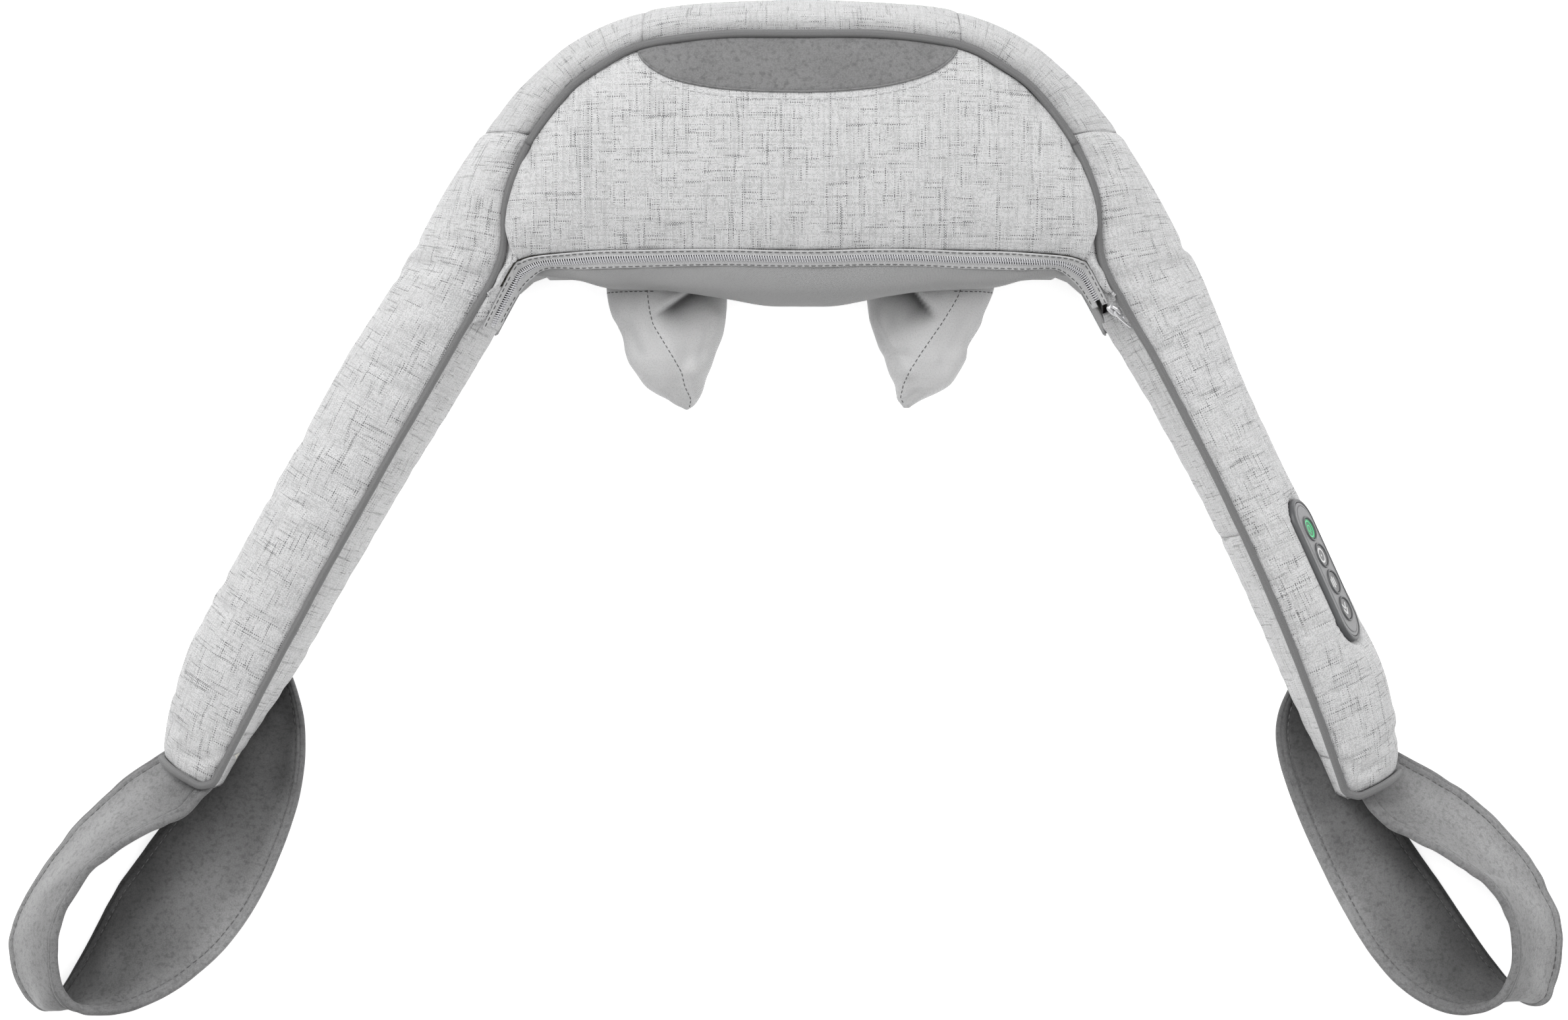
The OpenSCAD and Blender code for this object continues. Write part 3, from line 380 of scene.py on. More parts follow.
def suede(name, col=0.235, var=0.35, painted_light_and_shade=False):
    m, nt, b = new_mat(name)
    co = nd(nt, "ShaderNodeTexCoord").outputs["Object"]
    n1 = noise(nt, co, 55.0, 4.0, 0.6)
    n2 = noise(nt, co, 1400.0, 3.0, 0.7)
    n3 = noise(nt, co, 420.0, 2.0, 0.6)
    c = mixc(nt, ramp(nt, n1, 0.32, 0.68), g(col*(1 - 0.22*var)), g(col*(1 + 0.22*var)))
    c = mixc(nt, ramp(nt, n2, 0.35, 0.65, 0.0, 0.55), c, g(col*1.45))
    c = mixc(nt, ramp(nt, n3, 0.46, 0.72, 0.0, 0.50), c, g(col*0.55))
    # painted light and shade: a per-point attribute multiplies the suede colour and scales its sheen
    if painted_light_and_shade:
        at = nd(nt, "ShaderNodeAttribute", attribute_name="painted_light_and_shade")
        k = at.outputs["Fac"]
        mul = nd(nt, "ShaderNodeMix", data_type="RGBA", blend_type="MULTIPLY")
        mul.inputs[0].default_value = 1.0
        nt.links.new(c, mul.inputs[6])
        nt.links.new(comb(nt, k, k, k), mul.inputs[7])
        c = mul.outputs[2]
        nt.links.new(mth(nt, "MULTIPLY", k, 0.22), b.inputs["Sheen Weight"])
    nt.links.new(c, b.inputs["Base Color"])
    b.inputs["Roughness"].default_value = 0.95
    b.inputs["Specular IOR Level"].default_value = 0.12
    if not painted_light_and_shade:
        b.inputs["Sheen Weight"].default_value = 0.25
    b.inputs["Sheen Roughness"].default_value = 0.45
    bump(nt, b, mth(nt, "ADD", n2, n3), 0.0003, 0.5)
    return m


def twill(name, col=0.52, pitch=0.00052, sheen=0.2, contrast=0.16, painted_light_and_shade=False):
    m, nt, b = new_mat(name)
    uv = nd(nt, "ShaderNodeTexCoord").outputs["UV"]
    sep = nd(nt, "ShaderNodeSeparateXYZ")
    nt.links.new(uv, sep.inputs[0])
    U, V = sep.outputs[0], sep.outputs[1]
    d = mth(nt, "DIVIDE", mth(nt, "ADD", U, mth(nt, "MULTIPLY", V, 0.8)), pitch)
    w = mth(nt, "SINE", mth(nt, "MULTIPLY", d, 6.2832))
    x = mth(nt, "SINE", mth(nt, "MULTIPLY", mth(nt, "DIVIDE", mth(nt, "SUBTRACT", U, V), pitch*1.4), 6.2832))
    h = mth(nt, "ADD", w, mth(nt, "MULTIPLY", x, 0.35))
    n1 = noise(nt, comb(nt, mth(nt, "MULTIPLY", U, 1500.0), mth(nt, "MULTIPLY", V, 1500.0), 1.0), 1.0, 2.0)
    n2 = noise(nt, comb(nt, mth(nt, "MULTIPLY", U, 40.0), mth(nt, "MULTIPLY", V, 40.0), 4.0), 1.0, 3.0)
    c = mixc(nt, ramp(nt, h, -1.0, 1.0), g(col*(1 - contrast)), g(col*(1 + 0.5*contrast)))
    c = mixc(nt, ramp(nt, n1, 0.42, 0.72, 0.0, 0.40), c, g(col*0.60))
    c = mixc(nt, ramp(nt, n2, 0.3, 0.7, 0.0, 0.10), c, g(col*0.8))
    # painted light and shade: a per-point attribute multiplies the twill colour
    if painted_light_and_shade:
        k = nd(nt, "ShaderNodeAttribute", attribute_name="painted_light_and_shade").outputs["Fac"]
        mul = nd(nt, "ShaderNodeMix", data_type="RGBA", blend_type="MULTIPLY")
        mul.inputs[0].default_value = 1.0
        nt.links.new(c, mul.inputs[6])
        nt.links.new(comb(nt, k, k, k), mul.inputs[7])
        c = mul.outputs[2]
    nt.links.new(c, b.inputs["Base Color"])
    b.inputs["Roughness"].default_value = 0.68
    b.inputs["Specular IOR Level"].default_value = 0.28
    b.inputs["Sheen Weight"].default_value = sheen
    b.inputs["Sheen Roughness"].default_value = 0.4
    bump(nt, b, h, 0.00010, 0.45)
    return m


def plain(name, col, rough=0.5, metal=0.0, grain=0.0, coat=0.0, emit=None, scale=900.0):
    m, nt, b = new_mat(name)
    co = nd(nt, "ShaderNodeTexCoord").outputs["Object"]
    col = col if isinstance(col, tuple) else g(col)
    n1 = noise(nt, co, scale, 3.0, 0.6)
    c = mixc(nt, ramp(nt, n1, 0.3, 0.7), tuple(x*(1 - grain) for x in col), tuple(min(1, x*(1 + grain)) for x in col))
    nt.links.new(c, b.inputs["Base Color"])
    b.inputs["Roughness"].default_value = rough
    b.inputs["Metallic"].default_value = metal
    b.inputs["Coat Weight"].default_value = coat
    if emit:
        b.inputs["Emission Color"].default_value = (*emit[:3], 1.0)
        b.inputs["Emission Strength"].default_value = emit[3]
    if grain:
        bump(nt, b, n1, 0.00008, 0.4)
    return m


M_LINEN = linen("melange_linen", 0.70, 0.085, 0.00058)
M_BAND = linen("melange_linen_band", 0.63, 0.11, 0.00056)
M_SUEDE = suede("grey_suede", 0.215, painted_light_and_shade=True)
M_COLLAR = suede("collar_suede", 0.182)
M_PIPE = twill("piping_cloth", 0.20, 0.0006, 0.12, 0.12)
# the lining is the sleeves' grey twill painted darker: painted shade for cloth that faces down and forward
M_LINING_PAINTED_SHADE = twill("lining_twill_painted_shade", 0.345, 0.00055, 0.22)
M_POCKET = twill("sleeve_twill", 0.55, 0.00055, 0.22, 0.14, painted_light_and_shade=True)
M_TAPE = twill("zip_tape", 0.60, 0.0008, 0.1, 0.12)
M_NYLON = plain("zip_nylon", (0.66, 0.66, 0.68), 0.38, grain=0.05)
M_ZINC = plain("zip_metal", (0.70, 0.70, 0.71), 0.36, 0.6, grain=0.03)
M_THREAD = plain("grey_thread", 0.10, 0.8, grain=0.1)
M_THREAD_L = plain("suede_thread", 0.13, 0.85, grain=0.1)
M_BEZEL = plain("bezel_plastic", (0.080, 0.082, 0.085), 0.42, grain=0.04)
M_FASCIA = plain("fascia_plastic", (0.225, 0.225, 0.23), 0.5, grain=0.05)
M_KEY = plain("key_plastic", (0.14, 0.14, 0.143), 0.4, grain=0.03)
M_ICON = plain("icon_grey", (0.66, 0.66, 0.66), 0.5)
M_ICONG = plain("icon_green", (0.05, 0.42, 0.17), 0.5, emit=(0.05, 0.62, 0.22, 0.55))
M_KEYG = plain("key_green_back", (0.03, 0.13, 0.07), 0.45, emit=(0.01, 0.20, 0.07, 0.25))


# ------------------------------------------------------------------ cross-sections of the covers
NV = 41


SHK = 5.05


def head_sections(ks, s):
    """outer band of the head, ridge to base edge, at rail numbers ks"""
    out = []
    for k in ks:
        w = math.exp(-((k - SHK)/0.9)**2)
        p, q, b = rail(P_r, k - 0.21*w), rail(S_r, k + 0.20*w), rail(B_r, k + 0.24*w)
        o = q - p
        m1 = np.array([p[0] + 0.42*o[0], p[1] + 0.42*o[1], p[2] + 0.03*(p[2]-q[2])])
        m2 = np.array([p[0] + 0.84*o[0], p[1] + 0.84*o[1], q[2] + 0.52*(p[2]-q[2])])
        m4 = np.array([q[0]*0.55 + b[0]*0.45, q[1]*0.55 + b[1]*0.45, q[2]*0.4])
        c = resample(spl([p, m1, m2, q, m4, b], np.linspace(0, 5, 121)), NV)
        c[:, 0] *= s
        out.append(c)
    return out


def arm_at(s, L):
    """table row at distance L from the flex line"""
    T = TABLE[s]
    x = 2 + (L - 2)*269.0/(ALEN[s] - 2)
    k = np.interp(x, T[:, 0], np.arange(len(T)))
    q = spl(T, k)
    if L < 2:
        q = T[0] + (T[1] - T[0])*(L - 2)/32.0
    q = np.array(q, float)
    q[2] *= 1 - 0.86*float(sstep(L, ALEN[s] - (78 if s < 0 else 52), ALEN[s] - 3))
    q[2] += 1.5*float(1 - sstep(L, -9, 13))
    return q


def sweep(s, L, u, z):
    a = SPLAY[s]
    b = (2.5 if s < 0 else 5.5)*math.sin(math.pi*max(L, 0)/ALEN[s])
    u = np.asarray(u, float) + b
    p = np.stack([ROOT[0] + math.sin(a)*L + math.cos(a)*u, ROOT[1] - math.cos(a)*L + math.sin(a)*u, np.asarray(z, float) + 0*u], -1)
    p[..., 0] *= s
    return p


def arm_band_sec(s, L, n=NV):
    q = arm_at(s, L)
    o, h, z = q[1], q[3], q[4]
    c = spl([[0, h], [0.28*o, h*1.045], [0.6*o, h*0.99], [0.87*o, h*0.75], [o, h*0.44], [0.96*o, h*0.18 + z*0.4], [0.84*o, z]], np.linspace(0, 6, 121))
    c[:, 1] = np.maximum(c[:, 1], z)
    return resample(sweep(s, L, c[:, 0], c[:, 1]), n)


def arm_inner_sec(s, L, n=21):
    q = arm_at(s, L)
    i, h, z = q[2], q[3], q[4]
    c = spl([[-0.75*i, z], [-1.05*i, z*0.7 + h*0.2], [-0.85*i, h*0.6], [0, h]], np.linspace(0, 3, 61))
    c[:, 1] = np.maximum(c[:, 1], z)
    return resample(sweep(s, L, c[:, 0], c[:, 1]), n)


def arm_under_sec(s, L, n=21):
    q = arm_at(s, L)
    o, i, z = q[1], q[2], q[4]
    u = np.linspace(0.84*o, -0.75*i, n)
    return sweep(s, L, u, np.full(n, z))


def section_surface(secs, step=2.0, stretch=None):
    """a smooth surface through cross-sections, with even spacing along its length"""
    S = np.stack(secs)                       # (m, n, 3)
    m = len(S)
    mid = S[:, S.shape[1]//2]
    d = np.r_[0, np.cumsum(np.linalg.norm(np.diff(mid, axis=0), axis=1))]
    n = max(6, int(round(d[-1]/step)))
    u = np.interp(np.linspace(0, d[-1], n), d, np.arange(m))
    flat = S.reshape(m, -1)
    G = spl(flat, u).reshape(n, S.shape[1], 3)
    return G


def refine_v(G, n):
    """resample across"""
    m = G.shape[0]
    out = np.zeros((m, n, 3))
    for i in range(m):
        out[i] = resample(G[i], n)
    return out


def soften(G, edges, seed=1.0, wrinkle=0.6, out=1, extra=None):
    """adds the relief of sewn padded cloth: panels dip into their seams, pucker along them and carry soft unevenness.
    edges: (side, depth, width, pucker, wavelength), side one of u0 u1 v0 v1"""
    N = grid_normals(G)*out
    U, W = arclen(G, 0), arclen(G, 1)
    Um, Wm = U[-1:, :], W[:, -1:]
    h = wrinkle*(vnoise(U/46, W/30, seed)*0.9 + vnoise(U/19 + 5, W/16, seed + 3)*0.38 + vnoise(U/8, W/8, seed + 7)*0.10)
    for side, depth, width, pucker, wave in edges:
        d = {"u0": U, "u1": Um - U, "v0": W, "v1": Wm - W}[side]
        a = W if side[0] == "u" else U
        h = h - depth*np.exp(-(np.maximum(d, 0)/width)**1.4)
        pk = vnoise(a/wave + 11*seed, d/(wave*2.2), seed + 13)*0.7 + vnoise(a/(wave*0.5) + 3*seed, d/(wave*1.4), seed + 17)*0.3
        h = h + pucker*pk*np.exp(-d/(wave*1.1))*np.clip(d/1.5, 0.15, 1)
    if extra is not None:
        h = h + extra(G, U, W)
    return G + N*h[..., None], N


SIMS = []   # (surface, weight away from pinned edges); nothing fills it


def sim_offsets(items, pressure=3.5, frames=14):
    """Each item is a coarse grid (m, n, 3) in mm with its normals. Their borders are sewn, so they are pinned;
    the cloth is a little larger than its outline and is blown up by the wadding. Returns the moved grids."""
    scene = bpy.context.scene
    V, F, pin, spans, base = [], [], [], [], 0
    for G, flip in items:
        m, n = G.shape[:2]
        V.append(G.reshape(-1, 3))
        F += [tuple(int(i) for i in f) for f in grid_faces(m, n, flip=flip, base=base)]
        p = np.zeros((m, n))
        p[0], p[-1], p[:, 0], p[:, -1] = 1, 1, 1, 1
        pin.append(p.ravel())
        spans.append((base, m, n))
        base += m*n
    V = np.concatenate(V)
    # the simulation runs ten times the size, where its tolerances suit it
    ob = mesh_obj("sim_cloth", V*10, F)
    vg = ob.vertex_groups.new(name="pin")
    for i in np.nonzero(np.concatenate(pin))[0]:
        vg.add([int(i)], 1.0, "REPLACE")
    md = ob.modifiers.new("cloth", "CLOTH")
    st = md.settings
    st.quality = 6
    st.mass = 0.35
    st.tension_stiffness = st.compression_stiffness = 22
    st.shear_stiffness = 8
    st.bending_stiffness = 1.4
    st.air_damping = 6
    st.tension_damping = st.compression_damping = 12
    st.vertex_group_mass = "pin"
    st.pin_stiffness = 5
    st.shrink_min = -0.022
    st.use_pressure = True
    st.uniform_pressure_force = pressure
    st.effector_weights.gravity = 0
    md.collision_settings.use_collision = False
    md.point_cache.frame_start, md.point_cache.frame_end = 1, frames + 1
    scene.frame_start, scene.frame_end = 1, frames + 1
    for f in range(1, frames + 1):
        scene.frame_set(f)
    dg = bpy.context.evaluated_depsgraph_get()
    ev = ob.evaluated_get(dg)
    co = np.zeros(len(ev.data.vertices)*3)
    ev.data.vertices.foreach_get("co", co)
    co = co.reshape(-1, 3)/MM/10
    bpy.data.objects.remove(ob)
    scene.frame_set(1)
    return [co[b:b + m*n].reshape(m, n, 3) for b, m, n in spans]


def upsample(D, m, n):
    """coarse grid of vectors to a fine grid, smoothly"""
    a = spl(D.reshape(D.shape[0], -1), np.linspace(0, D.shape[0] - 1, m)).reshape(m, D.shape[1], -1)
    b = a.transpose(1, 0, 2).reshape(D.shape[1], -1)
    return spl(b, np.linspace(0, D.shape[1] - 1, n)).reshape(n, m, -1).transpose(1, 0, 2)


# ------------------------------------------------------------------ the cover's panels as raw surfaces
FINE = 1.6
panels = {}     # name -> dict(G, flip, edges, mat, ...)

# top panel: between the zip's upper seam and the ridge
def top_surface(nu, nv):
    k = np.linspace(-7.55, 7.55, nu)
    z, p = rail(Z_r, k), rail(P_r, k)
    v = np.linspace(0, 1, nv)[None, :, None]
    c = (7.2*np.sin(np.pi*v)**0.85*(1 - 0.5*(np.abs(k)[:, None, None]/8)**3))*np.array([0, 0, 1.0])
    return z[:, None]*(1 - v) + p[:, None]*v + c


def add_panel(name, G, flip, edges, mat, planar=False, **kw):
    panels[name] = dict(G=G, flip=flip, edges=edges, mat=mat, planar=planar, **kw)


EP = 1.7      # dip beside the piping
add_panel("top_cover", top_surface(int(300/FINE), int(115/FINE)), False,
          [("v1", EP, 3.0, 0.35, 9), ("v0", 0.6, 3.0, 0.2, 8), ("u0", 1.0, 3, 0, 8), ("u1", 1.0, 3, 0, 8)], M_LINEN, planar=True, wr=0.55, press=1.0)
add_panel("rear_band_cover", refine_v(section_surface(head_sections(np.linspace(-2, 2, 9), 1), FINE), int(105/FINE)), False,
          [("v0", EP, 3.0, 0.35, 9), ("v1", 1.2, 4.0, 0.3, 9), ("u0", 0.5, 1.3, 0.12, 7), ("u1", 0.5, 1.3, 0.12, 7)], M_BAND, wr=0.40, press=0.30)
for s in (-1, 1):
    nm = SIDE[s]
    add_panel(nm + "_shoulder_cover", refine_v(section_surface(head_sections(np.linspace(2, SHK, 6), s), FINE), int(100/FINE)), s < 0,
              [("v0", EP, 3.0, 0.3, 9), ("v1", 1.2, 4.0, 0.3, 9), ("u0", 0.5, 1.3, 0.12, 7), ("u1", 0.5, 1.3, 0.12, 7)], M_BAND, wr=0.40, press=0.30)
    Ls = np.r_[14, np.linspace(40, ALEN[s] - 30, 8), ALEN[s] - 18, ALEN[s] - 8, ALEN[s]]
    secs = head_sections(np.linspace(SHK, 7.45, 6), s) + [arm_band_sec(s, L) for L in Ls]
    add_panel(nm + "_arm_cover", refine_v(section_surface(secs, FINE), int(84/FINE)), s < 0,
              [("v0", EP, 3.0, 0.38, 9), ("v1", 1.1, 4.0, 0.4, 10), ("u0", 0.55, 1.5, 0.2, 7), ("u1", 1.5, 4.0, 0.22, 8)], M_LINEN, arm=s, wr=0.62, press=0.55)
    # narrow inner panels, cut by one or two cross seams
    cuts = [-14, 252, ALEN[s] - 0.5] if s < 0 else [-14, 118, 243, ALEN[s] - 0.5]
    for j in range(len(cuts) - 1):
        Li = np.linspace(cuts[j], cuts[j+1], max(4, int((cuts[j+1] - cuts[j])/18)))
        secs = [arm_inner_sec(s, L) for L in Li]
        ed = [("v1", 1.3, 2.6, 0.35, 8), ("v0", 0.9, 3.0, 0.3, 9), ("u1", 0.4, 1.4, 0.12, 6)] + ([("u0", 0.4, 1.4, 0.12, 6)] if j else [])
        add_panel(nm + "_inner_cover_" + "abc"[j], refine_v(section_surface(secs, FINE), int(56/FINE)), s < 0, ed, M_LINEN, arm=s, wr=0.30, press=0.35)
    Lu = np.linspace(-6, ALEN[s] - 0.5, 14)
    add_panel(nm + "_under_cover", refine_v(section_surface([arm_under_sec(s, L) for L in Lu], FINE*1.6), int(48/FINE)), s < 0,
              [], M_BAND, arm=s, wr=0.0, press=0.0, flat=True)


def settle():
    """cloth simulation of every padded panel at once, on coarse grids; the displacement is kept as a field"""
    coarse, names = [], []
    for n, p in panels.items():
        if p["press"] <= 0:
            continue
        G = p["G"]
        U = arclen(G, 0)[-1].mean()
        W = arclen(G, 1)[:, -1].mean()
        m, k = max(5, int(U/5.0)), max(5, int(W/5.0))
        i = np.round(np.linspace(0, G.shape[0] - 1, m)).astype(int)
        j = np.round(np.linspace(0, G.shape[1] - 1, k)).astype(int)
        coarse.append((G[np.ix_(i, j)], p["flip"]))
        names.append(n)
    moved = sim_offsets(coarse)
    for n, (c, _), w in zip(names, coarse, moved):
        d = w - c
        mag = np.linalg.norm(d, axis=2)
        print("sim", n, c.shape, "max move %.2f mm, mean %.2f" % (mag.max(), mag.mean()))
        cap = 2.6
        d = d*np.minimum(1, cap/np.maximum(mag, 1e-6))[..., None]
        panels[n]["disp"] = d*0.9*panels[n]["press"]


settle()


# ------------------------------------------------------------------ build the panels
LEAN = {s: np.array([s*math.sin(SPLAY[s]), -math.cos(SPLAY[s]), 0.0]) for s in (-1, 1)}


import bmesh


def fix_normals_late(ob):
    bm = bmesh.new(); bm.from_mesh(ob.data); bmesh.ops.recalc_face_normals(bm, faces=bm.faces); bm.to_mesh(ob.data); bm.free()
    return ob


def pull_room(G, depth):
    """presses the cloth down under the zip pull"""
    d = np.hypot(G[..., 0] - 166.0, G[..., 1] + 86.0)
    G = G.copy()
    G[..., 2] -= depth*np.exp(-(d/11.0)**2)*np.clip((G[..., 2] - 14.0)/26.0, 0, 1)
    return G


def arm_blend(ob):
    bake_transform(ob)


# the control panel's own frame on the right arm: x towards the tip, z out of the fascia
PANEL_POS = 153.0
PANEL_LEN, PANEL_W = 79.0, 27.0
PC = sweep(1, PANEL_POS, 33.0, 39.5)
PX = np.array([math.sin(SPLAY[1]), -math.cos(SPLAY[1]), 0.0])
_o = np.array([math.cos(SPLAY[1]), math.sin(SPLAY[1]), 0.0])
PZ = _o*math.sin(math.radians(62)) + np.array([0, 0, 1.0])*math.cos(math.radians(62))
PY = np.cross(PZ, PX)


def to_panel(G):
    d = G - PC
    return np.stack([d @ PX, d @ PY, d @ PZ], -1)


def from_panel(L):
    L = np.asarray(L, float)
    return PC + L[..., 0:1]*PX + L[..., 1:2]*PY + L[..., 2:3]*PZ


def stadium_sdf(x, y, l=PANEL_LEN, w=PANEL_W):
    dx = np.maximum(np.abs(x) - (l - w)/2, 0)
    return np.sqrt(dx*dx + y*y) - w/2


def seat_panel(G):
    L = to_panel(G)
    d = stadium_sdf(L[..., 0], L[..., 1])
    near = L[..., 2] > -16
    z = L[..., 2]
    target = np.where(d < -0.8, -4.0, np.where(d < 3.5, -3.4 + 2.6*sstep(d, -0.8, 1.6), z))
    # cloth rolls down into the opening round the bezel and lies flush beyond it
    lie = 0.35*sstep(d, 0.5, 4)
    z2 = np.where(near & (d < 1.2), np.minimum(z, target), z)
    w = (near & (d >= 1.2)) * np.exp(-np.maximum(d - 1.2, 0)/5.0)
    z2 = z2*(1 - w) + (-0.75)*w
    L = L.copy()
    L[..., 2] = np.where(near, z2, z)
    return from_panel(L)


REPL = {"top_cover": ["top_panel"], "rear_band_cover": ["rear_band"],
        "left_shoulder_cover": ["left_shoulder_band"], "right_shoulder_cover": ["right_shoulder_band"],
        "left_arm_cover": ["left_arm_band"], "right_arm_cover": ["right_arm_band"],
        "left_inner_cover_a": ["left_arm_lining"], "right_inner_cover_a": ["right_arm_lining"]}
built = {}
for i, (name, p) in enumerate(panels.items()):
    G = p["G"]
    if "disp" in p:
        G = G + upsample(p["disp"], G.shape[0], G.shape[1])
    wr = p["wr"]*(0.75 if "disp" in p else 1.0)
    U0, W0 = arclen(p["G"], 0), arclen(p["G"], 1)
    G, N = soften(G, p["edges"], seed=1.7 + 2.3*i, wrinkle=wr, out=-1 if p["flip"] else 1)
    if name == "right_arm_cover":
        G = seat_panel(G)
        G = pull_room(G, 0.8)
    if name == "right_inner_cover_a":
        G = pull_room(G, 4.6)
    if p["planar"]:
        uv = G[..., :2]*MM
    else:
        uv = np.stack([U0.mean(1)[:, None] + 0*W0, W0 - W0.mean(1)[:, None]], -1)*MM
    ob = shell(name, G, p["mat"], uv=uv + 0.37*i, flip=p["flip"])
    built[name] = (ob, G, N)
    if name in REPL:
        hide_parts(*REPL[name])
    if "arm" in p:
        arm_blend(ob)
    else:
        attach(ob, "head")

# the top panel's outer corners, beside the arms
for s in (-1, 1):
    k = np.linspace(7.42, 8.0, 14)
    z, q = rail(Z_r, k), rail(P_r, k)
    v = np.linspace(-0.06, 1.0, 22)[None, :, None]
    G = z[:, None]*(1 - v) + q[:, None]*v + np.array([0, 0, 1.0])*((3.2 if s < 0 else 0.4)*np.sin(np.pi*np.clip(v, 0, 1))**0.85 - (0.7 if s < 0 else 2.6))
    G[..., 0] *= s
    ob = fix_normals_late(shell(SIDE[s] + "_top_corner", G, M_LINEN, uv=G[..., :2]*MM, t=1.0, flip=s < 0))
    arm_blend(ob)

# underside of the head
kk = np.linspace(-7.9, 7.9, 70)
b_, f_ = rail(B_r, kk), rail(F_r, kk)
f_ = f_ + sstep(np.abs(kk), 5.2, 6.5)[:, None]*np.stack([np.sign(kk)*2.0, 0*kk + 3.0, 0*kk], 1)
vv = np.linspace(0, 1, 24)[None, :, None]
G = b_[:, None]*(1 - vv) + f_[:, None]*vv
G[..., 2] = 0.25
ob = shell("head_under_cover", G, M_BAND, uv=G[..., :2]*MM, t=-1.2)
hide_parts("base_panel"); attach(ob, "head")

# ------------------------------------------------------------------ piping, the cord sewn into the ridge seam
def ridge_path(s, L0, L1, n):
    return np.array([sweep(s, L, 0, arm_at(s, L)[3]) for L in np.linspace(L0, L1, n)])


PR = 1.95
k = np.linspace(-5, 5, 160)
C = rail(P_r, k)
C[:, 2] += 1.0
C[:, 1] += 0.35
ob = tube("head_piping_cord", C, PR, M_PIPE, 16)
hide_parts("head_piping"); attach(ob, "head")
tip_band = {}
for s in (-1, 1):
    k = np.linspace(4.96, 7.35, 50)
    a = rail(P_r, k)
    a[:, 0] *= s
    b = ridge_path(s, 16, ALEN[s] - 4, 90)
    sec = arm_band_sec(s, ALEN[s])
    e = sec[2:30] + LEAN[s]*1.1
    # the ridge cord turns the corner and runs down the end seam
    path = np.concatenate([a[:-2], b, e[2:]])
    path = resample(path, 400)
    sm = path.copy()
    for _ in range(6):
        sm[1:-1] = (sm[:-2] + 2*sm[1:-1] + sm[2:])/4
    L = np.r_[0, np.cumsum(np.linalg.norm(np.diff(sm, axis=0), axis=1))]
    sm[:, 2] += 0.7 + 0.12*vnoise(L/16, 0*L, 4 + s)
    sm[:, 0] += s*0.15*vnoise(L/13, 0*L, 9 + s)
    if s > 0:
        sm = pull_room(sm, 2.2)
    ob = tube(SIDE[s] + "_piping_cord", sm, PR + 0.06*vnoise(L/5, 0*L, 5), M_PIPE, 16)
    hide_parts(SIDE[s] + "_arm_piping")
    arm_blend(ob)
    # closing end of the arm
    cont = np.concatenate([arm_band_sec(s, ALEN[s], 30)[:-1], arm_under_sec(s, ALEN[s] - 0.5, 14)[:-1], arm_inner_sec(s, ALEN[s] - 0.5, 20)[:-1]])
    cen = cont.mean(0)
    rings = []
    for t in np.linspace(0, 1, 12):
        rings.append(cen + (cont - cen)*(1 - t)*0.985 + LEAN[s]*(2.6*math.sin(t*math.pi/2) + 0.2))
    R = np.stack(rings)
    f = grid_faces(12, len(cont), close_v=True, flip=s > 0)
    uvr = np.stack([(R - cen) @ np.array([s*math.cos(SPLAY[s]), math.sin(SPLAY[s]), 0]), R[..., 2]], -1).reshape(-1, 2)*MM
    ob = mesh_obj(SIDE[s] + "_arm_end", R.reshape(-1, 3), f, M_BAND, uvr)
    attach(ob, SIDE[s] + "_arm")

# ------------------------------------------------------------------ collar patch: suede laid over the back of the top panel
top_ob, TG, TN = built["top_cover"]


def top_xy(k, v):
    """point and normal on the finished top panel at rail number k and share v from zip to ridge"""
    m, n = TG.shape[:2]
    fi = np.clip((np.asarray(k, float) + 7.55)/15.1*(m - 1), 0, m - 1.001)
    fj = np.clip(np.asarray(v, float)*(n - 1), 0, n - 1.001)
    i, j = np.floor(fi).astype(int), np.floor(fj).astype(int)
    a, b = (fi - i)[..., None], (fj - j)[..., None]
    mix = lambda Q: (Q[i, j]*(1-a) + Q[i+1, j]*a)*(1-b) + (Q[i, j+1]*(1-a) + Q[i+1, j+1]*a)*b
    return mix(TG), unit(mix(TN))


nk, nw = 170, 34
kp = np.linspace(-2.06, 1.93, nk)
kc = (kp + 0.065)/2.0
edge_v = 0.985 - 0.258*np.clip(1 - np.abs(kc)**2.9, 0, 1)**0.70
W = np.linspace(0, 1, nw)[None, :]
VV = edge_v[:, None]*(1 - W) + 0.992*W
Pp, Nn = top_xy(np.repeat(kp[:, None], nw, 1), VV)
dist = arclen(Pp, 1)
lift = 1.05 - 0.75*np.exp(-(dist/0.8)**2) + 0.10*vnoise(Pp[..., 0]/24, Pp[..., 1]/14, 3)
Pp = Pp + Nn*lift[..., None]
ob = shell("collar_suede_patch", Pp, M_COLLAR, t=0.9)
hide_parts("collar_patch"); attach(ob, "head")
# rolled lower edge and its stitching
Pe, Ne = top_xy(kp, edge_v)
ob = tube("collar_edge_roll", Pe + Ne*0.55, 0.62, M_COLLAR, 8)
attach(ob, "head")
Ps, Ns = top_xy(kp[6:-6], edge_v[6:-6] - 0.035)
parts = stitches(Ps + Ns*0.16, Ns, 2.4, 1.5, 0.27)
ob = merge("collar_stitches", parts, M_TAPE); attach(ob, "head")

# ------------------------------------------------------------------ zip: tapes, two interlocked nylon coils, stitching
ZX_r = Z_r + [[166.0, -95.5, 51.5]]
TX_r = T_r + [[158.0, -94.5, 44.5]]


def tape_mid(v, n, lift=0.0, k0=-8.75, k1=7.55):
    k = np.linspace(k0, k1, n)
    z, t = rail(ZX_r, k), rail(TX_r, k)
    p = z*(1 - v) + t*v
    nn = unit(np.cross(np.gradient(p, axis=0), t - z))
    nn = nn*np.sign(nn[:, 2:3] + 1e-9)
    return p + nn*lift, nn


